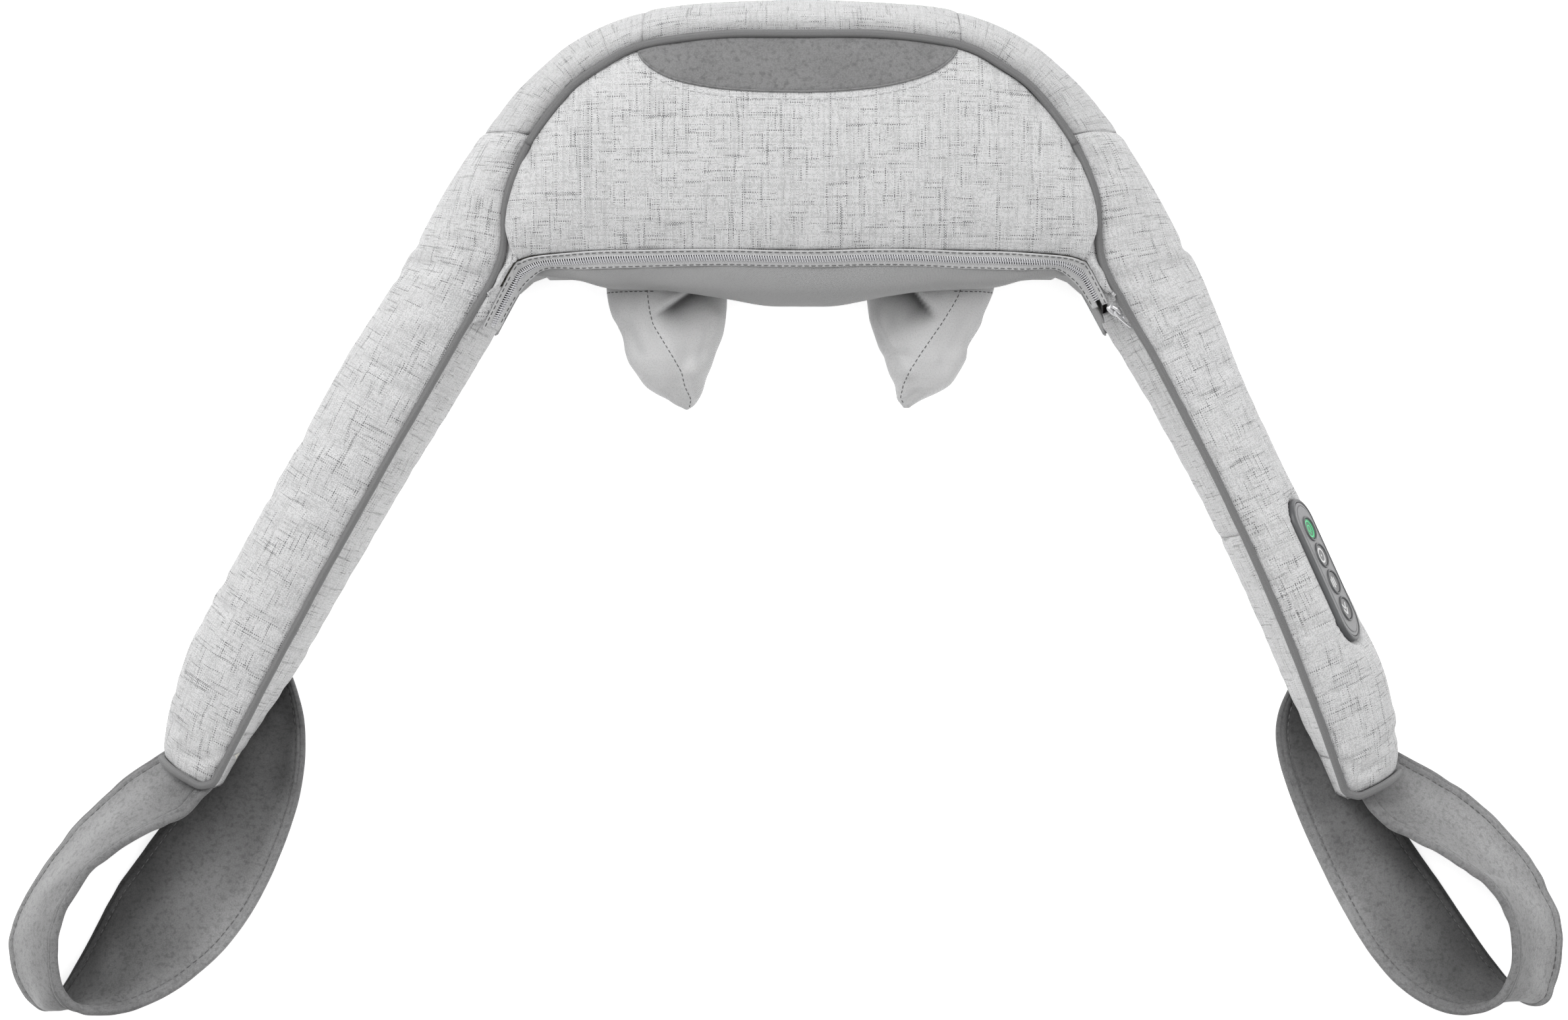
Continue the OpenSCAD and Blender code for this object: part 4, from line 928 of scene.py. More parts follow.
def zip_wave(p):
    """the long zip lies a little unevenly"""
    x = p[:, 0]
    w = 0.9*vnoise(x/47 + 3, 0*x, 21)*np.exp(-(np.abs(x)/140)**6)
    q = p.copy()
    q[:, 1] += w
    q[:, 2] += 0.5*vnoise(x/38, 0*x, 23)
    return q


KT, KE0, KE1 = -7.0, -8.28, 7.66


def tape_rows(nm, v0, v1, ka, kb, n):
    rows = []
    for v in np.linspace(v0, v1, 9):
        p, nn = tape_mid(v, n, 0.0, ka, kb)
        e = (v - v0)/(v1 - v0)
        bead = 0.75*math.exp(-((e - (0.93 if nm == "upper" else 0.07))/0.08)**2)
        rows.append(zip_wave(p) + nn*(0.7 + bead - 0.3*(e if nm == "upper" else 1 - e)))
    return np.stack(rows, 1)


for nm, v0, v1 in (("upper", -0.02, 0.335), ("lower", 0.665, 1.06)):
    vs = v0 + (v1 - v0)*(0.30 if nm == "upper" else 0.78)
    for ka, kb, sfx, n in ((KT, KE1, "", 250), (KE0, KT, "_tail", 24)):
        ob = shell("zip_tape_" + nm + sfx, tape_rows(nm, v0, v1, ka, kb, n), M_TAPE, t=0.6, flip=True)
        if sfx:
            arm_blend(ob)
        else:
            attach(ob, "head")
        if nm == "upper" and not sfx:
            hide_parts("zipper_tape")
        p, nn = tape_mid(vs, n, 0.0, ka, kb)
        ob = merge("zip_stitches_" + nm + sfx, stitches(zip_wave(p) + nn*0.72, nn, 2.4, 1.0, 0.24), M_THREAD)
        if sfx:
            arm_blend(ob)
        else:
            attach(ob, "head")


def coil(v, side, name, ka, kb):
    p, nn = tape_mid(v, 600, 0.9, ka, kb)
    p = zip_wave(p)
    total = np.linalg.norm(np.diff(p, axis=0), axis=1).sum()
    p = resample(p, int(total*13))
    T, _, _ = frames(p)
    L = np.r_[0, np.cumsum(np.linalg.norm(np.diff(p, axis=0), axis=1))]
    up = np.array([0, -0.55, 0.83])
    up = unit(up - T*(T @ up)[:, None])
    acr = np.cross(T, up)
    ph = 2*np.pi*L/1.26 + (0 if side > 0 else np.pi)
    c = p + up*(0.62*np.cos(ph))[:, None] + acr*(0.98*np.sin(ph))[:, None]
    return tube(name, c, 0.30, M_NYLON, 5)


for v, sd, nm in ((0.435, 1, "zip_coil_upper"), (0.565, -1, "zip_coil_lower")):
    for ka, kb, sfx in ((KT, KE1 - 0.15, ""), (KE0 + 0.05, KT, "_tail")):
        ob = coil(v, sd, nm + sfx, ka, kb)
        if sfx:
            arm_blend(ob)
        else:
            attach(ob, "head")
        if sd > 0 and not sfx:
            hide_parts("zipper_coil")

# ------------------------------------------------------------------ lining below the zip
def foam_front(x):
    """nearest the cloth may come to the wadding behind it"""
    return np.interp(np.abs(x), [96, 104, 132, 140, 147, 175], [-54.0, -57.8, -58.2, -61.4, -67.6, -67.6])


def lining_ctrl(k):
    t_, r_ = rail(TX_r, k), rail(R_r, k)
    ctrl = np.stack([r_*np.array([0.975, 1, 1]) + np.array([0, 22, -2.6]), r_*np.array([0.985, 1, 1]) + np.array([0, 11, -3.2]), r_ + np.array([0, 3.0, -3.4]), r_ + np.array([0, 0.2, 0.6]), (t_ + r_)/2 + np.array([0, -2.6, 3.0]), t_ + np.array([0, 0.8, 0.2])], 1)
    # beside the hands it turns straight down behind the zip
    tuck = sstep(np.abs(k), 5.2, 6.5)[:, None, None]
    tk_ = np.repeat(t_[:, None], 6, 1)
    tk_[..., 0] += np.sign(k)[:, None]*np.array([1.5, 1.2, 0.9, 0.6, 0.3, 0.0])
    tk_[..., 1] += np.array([13.0, 10.5, 7.5, 4.5, 1.9, 0.8])
    tk_[..., 1] = np.minimum(tk_[..., 1], np.maximum(foam_front(tk_[..., 0]), t_[:, None, 1] + 0.8))
    tk_[..., 2] += np.array([-42.0, -32.0, -21.0, -11.0, -4.0, 0.2])
    return ctrl*(1 - tuck) + tk_*tuck


nvv = 44
k = np.linspace(-7.45, 7.45, int(330/(1.8)))
nu = len(k)
G = spl(lining_ctrl(k).transpose(1, 0, 2).reshape(6, -1), np.linspace(0, 5, nvv)).reshape(nvv, nu, 3).transpose(1, 0, 2)
G, N = soften(G, [("v1", 0.7, 2.2, 0.45, 9)], seed=31, wrinkle=0.75)
ob = shell("front_lining_cover", G, M_LINING_PAINTED_SHADE, t=1.0)
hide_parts("front_lining"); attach(ob, "head")
for s in (-1, 1):
    k = np.linspace(7.38, 8.35, 16)*s
    G = spl(lining_ctrl(k).transpose(1, 0, 2).reshape(6, -1), np.linspace(0, 5, 40)).reshape(40, 16, 3).transpose(1, 0, 2)
    ob = fix_normals_late(shell(SIDE[s] + "_corner_lining", G, M_LINING_PAINTED_SHADE, t=1.0, flip=s < 0))
    arm_blend(ob)
# lower corners, beside the hands
for j, (k0, k1) in enumerate(((-7.9, -4.95), (4.95, 7.9))):
    k = np.linspace(k0, k1, 48)
    r_, f_ = rail(R_r, k), rail(F_r, k)
    tq = sstep(np.abs(k), 5.2, 6.5)[:, None]
    t3 = rail(T_r, k)
    f_ = f_ + tq*np.stack([np.sign(k)*2.0, 0*k + 3.0, 0*k], 1)
    r_ = r_*(1 - tq) + tq*(t3 + np.stack([np.sign(k)*3.5, 0*k + 22.0, 0*k - 8.0], 1))
    v = np.linspace(0, 1, 30)[None, :, None]
    lo = f_ + np.array([0, -1.0, 0.6])
    hi = np.stack([r_[:, 0], r_[:, 1]*0.5 + f_[:, 1]*0.5, r_[:, 2] - 5], 1)
    G = lo[:, None]*(1 - v) + hi[:, None]*v + np.array([0, -1.0, 0])*2*np.sin(np.pi*v)
    G[..., 1] = np.minimum(G[..., 1], foam_front(G[..., 0]))
    G, N = soften(G, [("v0", 0.8, 3, 0.3, 9)], seed=41 + j, wrinkle=0.25)
    ob = shell("front_lower_lining_" + "ab"[j], G, M_LINING_PAINTED_SHADE, t=1.0)
    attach(ob, "head")

# ------------------------------------------------------------------ hand sleeves
POCKET = {
    -1: dict(edge=[[-57,-38.5,-100],[-68,-37.9,-99.7],[-80,-39,-97.8],[-86,-39.8,-94.4],[-92,-41,-91.9],[-100,-43.8,-91.2],[-106,-46,-89.1],[-112,-48.4,-84.5],[-118,-50.4,-79],[-123,-52.8,-70.5],[-126.5,-54.8,-65],[-128.4,-58,-60.5]],
             seam=[[-57,-79.5],[-68,-78.6],[-79,-77.3],[-86,-75.6],[-95.6,-69.8],[-103.4,-65],[-110.6,-61],[-117.3,-59.6],[-124,-56.5],[-128.4,-57.5]]),
    1: dict(edge=[[-57,34,100.5],[-68,34,99.6],[-80,34.6,95],[-86,36,93.1],[-96,39.8,87.4],[-101,43,86.4],[-104,44,85.6],[-110,45.8,82.1],[-116,48.4,77.2],[-120.4,49.2,70.3],[-124,50,62.5],[-127.6,52.8,56.5]],
            seam=[[-57,83],[-67.8,81.7],[-73.4,79.4],[-85.8,71.7],[-99.7,62],[-109.4,55.8],[-116.3,52.6],[-123.3,51.2],[-127.6,54]]),
}
ZC = 33.0
for s in (-1, 1):
    pk = POCKET[s]
    E = np.array(pk["edge"], float)
    nt, na = ((120, 150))
    yy = spl(E, np.linspace(0, len(E) - 1, nt))
    y, xi, xo = yy[:, 0], yy[:, 1], yy[:, 2]
    cx, hw = (xi + xo)/2, np.abs(xo - xi)/2
    tt = np.clip((y[0] - y)/(y[0] - y[-1]), 0, 1)
    hh = np.interp(-y, [57, 66, 80, 92, 104, 112, 118, 123, 126.5, 128.4], [16.5, 17.5, 16.5, 16.0, 15.2, 13.2, 10.8, 7.4, 4.2, 1.4])
    zc = ZC + np.interp(-y, [57, 70, 90, 110, 128], [1.5, 1.0, 0, -0.5, -1.0])
    th = np.linspace(0, 2*np.pi, na, endpoint=False)
    c_, s_ = np.cos(th), np.sin(th)
    ex = 0.86
    X = cx[:, None] + hw[:, None]*np.sign(c_)*np.abs(c_)**ex
    Z = zc[:, None] + hh[:, None]*np.sign(s_)*np.abs(s_)**ex
    Y = y[:, None] + 0*X
    G = np.stack([X, Y, Z], -1)
    dU = np.gradient(G, axis=0)
    dV = np.roll(G, -1, 1) - np.roll(G, 1, 1)
    N = unit(np.cross(dV, dU))
    N = N*np.sign(((G - np.stack([cx, y, zc], -1)[:, None])*N).sum(-1, keepdims=True).mean())
    up = sstep(N[..., 2], -0.1, 0.5)
    dn = sstep(-N[..., 2], -0.1, 0.5)
    sx = np.interp(-Y, -np.array(pk["seam"])[:, 0], np.array(pk["seam"])[:, 1])
    ds = X - sx
    h = 1.5*np.exp(-np.abs(ds)/2.6)*up*sstep(tt, 0.05, 0.3)[:, None] - 0.5*np.exp(-(ds/0.9)**2)*up
    # outer gusset flat, inner gusset falling away to a hollow at its root
    if s < 0:
        a0, a1 = np.array([-52.0, -66.5]), np.array([-75.5, -82.5])
    else:
        a0, a1 = np.array([55.0, -65.0]), np.array([68.5, -83.0])
    d = (a1 - a0)/np.linalg.norm(a1 - a0)
    q = np.stack([X - a0[0], Y - a0[1]], -1)
    al = q @ d
    pe = q @ np.array([-d[1], d[0]])*(1 if s < 0 else -1)
    Ln = np.linalg.norm(a1 - a0)
    win = sstep(al, -12, 1)*(1 - sstep(al, Ln*0.55, Ln + 3))
    hollow = -6.2*win*sstep(pe, -0.8, 1.6)*np.exp(-np.maximum(pe, 0)/(9.0 if s < 0 else 12.0))
    flap = 2.4*win*np.exp(-((pe + 2.4)/2.6)**2)
    h = h + up*(hollow + flap)
    # painted shade: how strongly the fold beside the flap is darkened in the colour attribute below
    dark = win*sstep(pe, -0.8, 1.2)*np.exp(-np.maximum(pe - 2.5, 0)/(8.0 if s < 0 else 13.0))*up
    # soft folds running towards the tip
    for (x0, y0, x1, y1, w, dep) in ([(-45, -84, -52, -108, 2.6, -1.5), (-62, -86, -57, -112, 5.0, -1.3), (-91, -84, -82, -104, 3.2, -0.9), (-56, -116, -54, -126, 1.8, -1.3), (-41, -78, -47, -96, 2.2, 0.8), (-84, -72, -80, -90, 4.5, -0.7)] if s < 0 else
                                     [(40, -90, 50, -112, 2.6, -1.5), (58, -88, 50, -106, 4.2, -1.2), (38, -80, 46, -98, 2.0, 0.8), (85, -84, 74, -108, 4.5, -1.0), (62, -119, 54, -125, 2.2, -1.1), (90, -70, 84, -86, 3.5, -0.7)]):
        a0, a1 = np.array([x0, y0], float), np.array([x1, y1], float)
        L = np.linalg.norm(a1 - a0)
        d = (a1 - a0)/L
        q = np.stack([X - a0[0], Y - a0[1]], -1)
        al = q @ d
        pe = q @ np.array([-d[1], d[0]])
        h = h + dep*up*np.exp(-(pe/w)**2)*sstep(al, -4, 5)*(1 - sstep(al, L - 5, L + 5))
    fade = sstep(1 - tt, 0.0, 0.12)[:, None]
    h = h + fade*(0.9*vnoise(X/11 + 4*s, Y/21, 51 + s) + 0.45*vnoise(X/5.5, Y/12, 57 + s)*(0.4 + up) + 0.8*dn*vnoise(X/9, Y/14, 61 + s))
    G = G + N*h[..., None]
    need = np.zeros(G.shape[:2])
    for hx, hy, hz, R in [(-4.5, -90.6, 7.4, 7.1), (-4.5, -90.6, -7.4, 7.1), (3, -47, 0, 13), (-5, -47, 0, 13)]:
        ct, st_ = math.cos(math.radians(5)), math.sin(math.radians(5))
        c0 = np.array([s*(70 + hx*ct + hy*st_), -18 - hx*st_ + hy*ct, 31 + hz])
        dd = np.linalg.norm(G - c0, axis=-1)
        need = np.maximum(need, R + 1.5 - dd)
    wide = need.copy()
    for _ in range(46):
        wide = 0.2*(wide + np.roll(wide, 1, 1) + np.roll(wide, -1, 1) + np.concatenate([wide[:1], wide[:-1]]) + np.concatenate([wide[1:], wide[-1:]]))
        wide = np.maximum(wide, need)
    G = G + N*(wide*1.08)[..., None]
    for _ in range(2):
        G[1:-1] = G[1:-1]*0.6 + 0.1*(G[:-2] + G[2:]) + 0.1*(np.roll(G, 1, 1) + np.roll(G, -1, 1))[1:-1]
    V = np.concatenate([G.reshape(-1, 3), (G[0] - N[0]*1.3 + np.array([0, 0.2, 0])).reshape(-1, 3), (G[10] - N[10]*1.3).reshape(-1, 3), [G[-1].mean(0) + np.array([0, -0.5, 0])]])
    f = grid_faces(nt, na, close_v=True, flip=True)
    b0 = nt*na
    j = np.arange(na); jn = (j + 1) % na
    f2 = np.stack([jn, j, j + b0, jn + b0], 1)
    f3 = np.stack([jn + b0, j + b0, j + b0 + na, jn + b0 + na], 1)
    faces = [tuple(x) for x in f] + [tuple(x) for x in f2] + [tuple(x) for x in f3] + [((nt-1)*na + a, (nt-1)*na + b, b0 + 2*na) for a, b in zip(j, jn)]
    per = arclen(G, 0)
    uvx = np.concatenate([np.stack([X, -Y + 0.35*(Z - ZC)], -1).reshape(-1, 2), np.zeros((2*na + 1, 2))])*MM
    ob = mesh_obj(SIDE[s] + "_hand_sleeve_cover", V, faces, M_POCKET, uvx)
    me = ob.data
    import bmesh
    bm = bmesh.new(); bm.from_mesh(me); bmesh.ops.recalc_face_normals(bm, faces=bm.faces); bm.to_mesh(me); bm.free()
    # painted light and shade in the sleeve colour: darker in the fold, at the root where the sleeve leaves the lining
    # and on faces turned down, lighter on the upper outer side
    root = np.exp(-((Y + 57)/6.5)**2)*0.34*up
    painted_light_and_shade = np.clip(1.02 - 0.82*dark - root - 0.10*sstep(-N[..., 2], -0.3, 0.6) + 0.10*sstep((ds*s), 3, 22)*up, 0.2, 1.2)
    at = me.attributes.new("painted_light_and_shade", "FLOAT", "POINT")
    at.data.foreach_set("value", np.concatenate([painted_light_and_shade.ravel(), np.ones(2*na + 1)*0.5]).astype(np.float32))
    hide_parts(SIDE[s] + "_hand_sleeve"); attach(ob, SIDE[s] + "_hand")
    # stitched centre seam, found on the finished surface
    line, nl = [], []
    for i in range(2, nt - 2):
        m = (N[i, :, 2] > 0.25)
        jj = np.nonzero(m)[0]
        jb = jj[np.argmin(np.abs(G[i, jj, 0] - sx[i, jj]))]
        line.append(G[i, jb]); nl.append(N[i, jb])
    line, nl = np.array(line), np.array(nl)
    ys = line[:, 1]
    line[:, 0] = np.interp(-ys, -np.array(pk["seam"])[:, 0], np.array(pk["seam"])[:, 1])
    for _ in range(3):
        line[1:-1] = (line[:-2] + 2*line[1:-1] + line[2:])/4
    parts = stitches(line, nl, 1.9, 0.9, 0.26)
    row = int(np.argmin(np.abs(y + 69.5)))
    jj = np.nonzero(N[row, :, 2] > 0.15)[0]
    jj = jj[np.argsort(G[row, jj, 0])]
    outer = jj[(G[row, jj, 0]*s > abs(sx[row, 0]) - 4)]
    if len(outer) > 6:
        parts += stitches(G[row, outer], N[row, outer], 1.9, 0.9, 0.26)
    ob = merge(SIDE[s] + "_sleeve_seam", parts, M_THREAD)
    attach(ob, SIDE[s] + "_hand")

# ------------------------------------------------------------------ front facing with an opening for each hand
def facing_y(x, z):
    return np.interp(np.abs(x), [0, 103, 109, 132], [-54.0, -54.2, -58.6, -58.8]) - 0.8*(z/50.0) + 0.25*vnoise(x/16, z/12, 121)


def from_facing(V):
    V = np.asarray(V, float)
    return np.stack([V[:, 0], facing_y(V[:, 0], V[:, 1]) - V[:, 2], V[:, 1]], 1)


def bay(x0, x1, z0, top):
    """the lower edge of a bay from x0 to x1, with rounded corners"""
    r = 11.0
    t = np.linspace(0, np.pi/2, 7)
    d = 1 if x1 > x0 else -1
    a = np.stack([x0 + d*r*(1 - np.cos(t)), z0 + r*(1 - np.sin(t))], 1)
    b = np.stack([x1 - d*r*(1 - np.sin(t)), z0 + r*(1 - np.cos(t))], 1)
    return np.concatenate([[[x0, top[0]]], a, b, [[x1, top[1]]]])


# the rim is stepped finely so the cloth can lie unevenly
rim = np.concatenate([[[-132, 0.7], [132, 0.7], [132, 42], [120, 46]], bay(109.0, 27.0, 12.2, (48.0, 55.0)), bay(-28.5, -110.0, 10.4, (55.0, 48.0)), [[-120, 46], [-132, 42]]])
rim = np.concatenate([np.linspace(rim[i], rim[(i + 1) % len(rim)], max(2, int(np.linalg.norm(rim[(i + 1) % len(rim)] - rim[i])/3)), endpoint=False) for i in range(len(rim))])
# ------------------------------------------------------------------ hand loops: padded suede straps with a stitched border
LOOP = {
    -1: ([[322.5,-301,13],[354,-322,10],[385,-352,7],[408,-386,5],[416,-412,4],[404,-442,3],[387,-434,3],[366,-389,3],[342,-355,3],[318,-323,3],[297,-297,3],[284,-278,3.5],[276,-262,4.5]],
         [[301.5,-322,34],[315,-337,44],[335,-345.5,50],[360,-361,50],[377,-385,48],[382,-416,44],[373,-440,35],[348,-441,28],[320,-428,21],[288,-396,15],[264,-340,9],[259.5,-296,5],[267,-268,5]]),
    1: ([[307.5,-305,13],[338,-322,10],[368,-346,7],[391,-377,5],[401,-406,4],[394,-440,3],[374,-433,3],[351,-399,3],[332,-371,3],[310,-338,3],[289,-306,3],[276,-285,3.5],[267,-268,4.5]],
        [[287,-326,34],[300,-343,44],[322,-352.5,50],[345,-366,50],[361,-386,48],[366,-414,44],[354,-440,34],[328,-440,27],[301,-420,21],[274,-373,14],[253,-322,8],[249,-292,5],[258,-271,5]]),
}


def strap_profile(d, w):
    """half thickness of the strap at distance d from its nearer edge"""
    t = 1.85*np.sqrt(np.clip(1 - (1 - np.minimum(d/1.5, 1))**2, 0, 1)) + 0.35*np.exp(-((d - 3.2)/1.7)**2)
    t = t - 0.70*np.exp(-((d - 3.1)/0.42)**2) + 0.25*np.exp(-((d - 4.6)/1.0)**2)
    t = t - 0.35*sstep(d, 5.6, 7.4) - 0.95*np.exp(-((d - 6.5)/0.55)**2)
    return np.maximum(t, 0.12)


for s in (-1, 1):
    nu = 300
    nv = 72
    u = np.linspace(0.0, 11.95, nu)
    a, b = spl(np.array(LOOP[s][0], float), u), spl(np.array(LOOP[s][1], float), u)
    for _ in range(140):
        a[1:-1] = a[1:-1]*0.5 + 0.25*(a[:-2] + a[2:])
        b[1:-1] = b[1:-1]*0.5 + 0.25*(b[:-2] + b[2:])
    a[:, 0] *= s
    b[:, 0] *= s
    wdt = np.linalg.norm(b - a, axis=1)
    v = 0.5 - 0.5*np.cos(np.linspace(0, np.pi, nv))
    v = 0.55*v + 0.45*np.linspace(0, 1, nv)
    M = a[:, None]*(1 - v[None, :, None]) + b[:, None]*v[None, :, None]
    N = grid_normals(M)
    along = arclen(M, 0).mean(1)
    d = np.minimum(v[None, :], 1 - v[None, :])*wdt[:, None]
    # the strap cups gently and creases where it turns
    cup = 2.0*np.sin(np.pi*v)[None, :]*(1 + 0.4*vnoise(along/40, 0*along, 71 + s))[:, None]
    crease = 0.9*vnoise(along[:, None]/14 + 0*v[None, :], v[None, :]*1.3 + 0*along[:, None], 73 + s) + 0.35*vnoise(along[:, None]/6, v[None, :]*3.0 + 0*along[:, None], 75 + s)
    fade = np.clip(np.minimum(along, along[-1] - along)/16, 0, 1)[:, None]
    M = M + N*((cup + crease)*fade)[..., None]
    # the fold at the far end stays round
    bulge = 3.6*np.exp(-((u[:, None] - 5.45)/0.5)**2)*np.sin(np.pi*v)[None, :]
    M = M + bulge[..., None]*unit(np.array([s*0.45, -0.89, 0.0]))
    for _ in range(3):
        M[1:-1] = M[1:-1]*0.5 + 0.25*(M[:-2] + M[2:])
    N = grid_normals(M)
    t = strap_profile(d, wdt)
    t = np.maximum(t + 0.10*vnoise(along[:, None]/9, d/6, 77), 0.1)
    A, Bm = M + N*t[..., None], M - N*t[..., None]
    ringv = np.concatenate([A, Bm[:, ::-1][:, 1:-1]], 1)
    n = ringv.shape[1]
    f = grid_faces(nu, n, close_v=True, flip=True)
    uvw = np.concatenate([d*0 + v[None, :]*wdt[:, None], (d*0 + (1 - v[None, :])*wdt[:, None])[:, 1:-1] + 60], 1)
    uv = np.stack([along[:, None] + 0*uvw, uvw], -1).reshape(-1, 2)*MM
    caps = [tuple(range(n)), tuple((nu-1)*n + j for j in range(n-1, -1, -1))]
    ob = mesh_obj(SIDE[s] + "_loop_strap", ringv.reshape(-1, 3), [tuple(x) for x in f] + caps, M_SUEDE, uv)
    # painted light and shade: the upper run is painted lighter, with a lighter band along it and darker where it leaves
    # the arm; the leaf folding under the arm is painted in shade, darkest along the edge by the opening
    uu = np.repeat(u[:, None], n, 1)
    vr = np.concatenate([v, v[1:-1][::-1]])[None, :] + 0*uu
    leaf = sstep(uu, 5.0, 6.6)
    shade = 1.28 - 0.12*np.abs(vr - 0.45)*2 - leaf*(0.84 - 0.40*np.exp(-((uu - 8.7)/1.0)**2)*sstep(vr, 0.10, 0.55) - 0.42*sstep(vr, 0.70, 1.0) + 0.14*sstep(uu, 9.6, 11.4))
    shade = shade*(1 - leaf)*(0.80 + 0.24*np.exp(-((vr - 0.30)/0.28)**2))*(0.76 + 0.24*sstep(uu, 0.2, 2.2)) + shade*leaf
    shade = shade*(1 - 0.55*leaf*(1 - sstep(vr, 0.02, 0.10)))
    shade = shade + leaf*0.07*vnoise(along[:, None]/17 + 0*vr, vr*2.4, 79 + s)
    at = ob.data.attributes.new("painted_light_and_shade", "FLOAT", "POINT")
    at.data.foreach_set("value", np.clip(shade, 0.25, 1.5).astype(np.float32).ravel())
    bm = bmesh.new(); bm.from_mesh(ob.data); bmesh.ops.triangulate(bm, faces=[q for q in bm.faces if len(q.verts) > 4]); bmesh.ops.recalc_face_normals(bm, faces=bm.faces); bm.to_mesh(ob.data); bm.free()
    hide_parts(SIDE[s] + "_hand_loop"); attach(ob, SIDE[s] + "_loop")
    parts = []
    for sgn, S in ((1, A), (-1, Bm)):
        for edge in (0, 1):
            vv = np.clip(6.5/wdt, 0, 0.5)
            vv = vv if edge == 0 else 1 - vv
            fj = np.interp(vv, v, np.arange(nv))
            j0 = np.minimum(np.floor(fj).astype(int), nv - 2)
            fr = (fj - j0)[:, None]
            i_ = np.arange(nu)
            line = S[i_, j0]*(1 - fr) + S[i_, j0 + 1]*fr
            parts += stitches(line[3:-3], (N[i_, j0]*sgn)[3:-3], 2.7, 1.3, 0.34, -0.10)
    ob = merge(SIDE[s] + "_loop_stitches", parts, M_THREAD_L)
    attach(ob, SIDE[s] + "_loop")

# ------------------------------------------------------------------ flat plates with holes
from mathutils.geometry import delaunay_2d_cdt


def inside(P, poly):
    x, y = P[:, 0], P[:, 1]
    r = np.zeros(len(P), bool)
    q = np.roll(poly, -1, 0)
    for (x0, y0), (x1, y1) in zip(poly, q):
        c = ((y0 > y) != (y1 > y)) & (x < (x1 - x0)*(y - y0)/(y1 - y0 + 1e-12) + x0)
        r ^= c
    return r


def plate_data(outline, holes, z0, z1, tf):
    loops = [np.array(outline, float)] + [np.array(h, float) for h in holes]
    co, ed, base = [], [], 0
    for l in loops:
        k = len(l)
        co += [Vector(p[:2]) for p in l]
        ed += [(base + i, base + (i + 1) % k) for i in range(k)]
        base += k
    r = delaunay_2d_cdt(co, ed, [], 0, 1e-6)
    P = np.array([[p.x, p.y] for p in r[0]])
    T = np.array([list(f) for f in r[2] if len(f) == 3])
    c = P[T].mean(1)
    keep = inside(c, loops[0])
    for h in loops[1:]:
        keep &= ~inside(c, h)
    T = T[keep]
    e1, e2 = P[T[:, 1]] - P[T[:, 0]], P[T[:, 2]] - P[T[:, 0]]
    T[(e1[:, 0]*e2[:, 1] - e1[:, 1]*e2[:, 0]) < 0] = T[(e1[:, 0]*e2[:, 1] - e1[:, 1]*e2[:, 0]) < 0][:, ::-1]
    n = len(P)
    V = np.concatenate([np.c_[P, np.full(n, z1)], np.c_[P, np.full(n, z0)]])
    F = [tuple(t) for t in T] + [tuple(t[::-1] + n) for t in T]
    # walls on every edge used once
    cnt = {}
    for t in T:
        for i in range(3):
            e = (int(t[i]), int(t[(i+1) % 3]))
            cnt[e] = 1
    for (i, j) in cnt:
        if (j, i) not in cnt:
            F.append((j, i, i + n, j + n))
    return tf(V), F


ob = fix_normals_late(merge("front_facing", [plate_data(rim, [], 0.0, 1.0, from_facing)], M_LINING_PAINTED_SHADE, smooth=False))
uvl = ob.data.uv_layers.new(name="UVMap") if not ob.data.uv_layers else ob.data.uv_layers[0]
for lp in ob.data.loops:
    c = ob.data.vertices[lp.vertex_index].co
    uvl.data[lp.index].uv = (c.x, c.z)
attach(ob, "head")

def bevel(ob, w, seg=2):
    md = ob.modifiers.new("bevel", "BEVEL")
    md.width = w*MM
    md.segments = seg
    md.limit_method = "ANGLE"
    md.angle_limit = math.radians(40)
    return ob


def stadium(l, w, n=24):
    r, h = w/2, (l - w)/2
    t = np.linspace(-np.pi/2, np.pi/2, n)
    a = np.stack([h + r*np.cos(t), r*np.sin(t)], 1)
    b = np.stack([-h - r*np.cos(t), -r*np.sin(t)], 1)
    return np.concatenate([a, b])


def swept_stadium(prof, l, w, tf, n=24, close=True):
    """a closed profile of (inset, z) carried round a stadium"""
    rings = np.stack([np.c_[stadium(l - 2*i, w - 2*i, n), np.full(2*n, z)] for i, z in prof])     # (profile, around, 3)
    m, k = rings.shape[:2]
    V = rings.reshape(-1, 3)
    F = []
    for i in range(m if close else m - 1):
        for j in range(k):
            a, b = i*k + j, i*k + (j + 1) % k
            c, d = ((i + 1) % m)*k + (j + 1) % k, ((i + 1) % m)*k + j
            F.append((a, b, c, d))
    return tf(V), F


def disc_data(prof, c, tf, n=48):
    """a turned form: profile of (r, z) about a local axis through c"""
    th = np.linspace(0, 2*np.pi, n, endpoint=False)
    V, F = [], []
    for r, z in prof:
        V.append(np.stack([c[0] + r*np.cos(th), c[1] + r*np.sin(th), np.full(n, z)], 1))
    V = np.concatenate(V)
    for i in range(len(prof) - 1):
        for j in range(n):
            F.append((i*n + j, i*n + (j+1) % n, (i+1)*n + (j+1) % n, (i+1)*n + j))
    return tf(V), F


def fix_normals(ob):
    bm = bmesh.new(); bm.from_mesh(ob.data); bmesh.ops.recalc_face_normals(bm, faces=bm.faces); bm.to_mesh(ob.data); bm.free()
    return ob


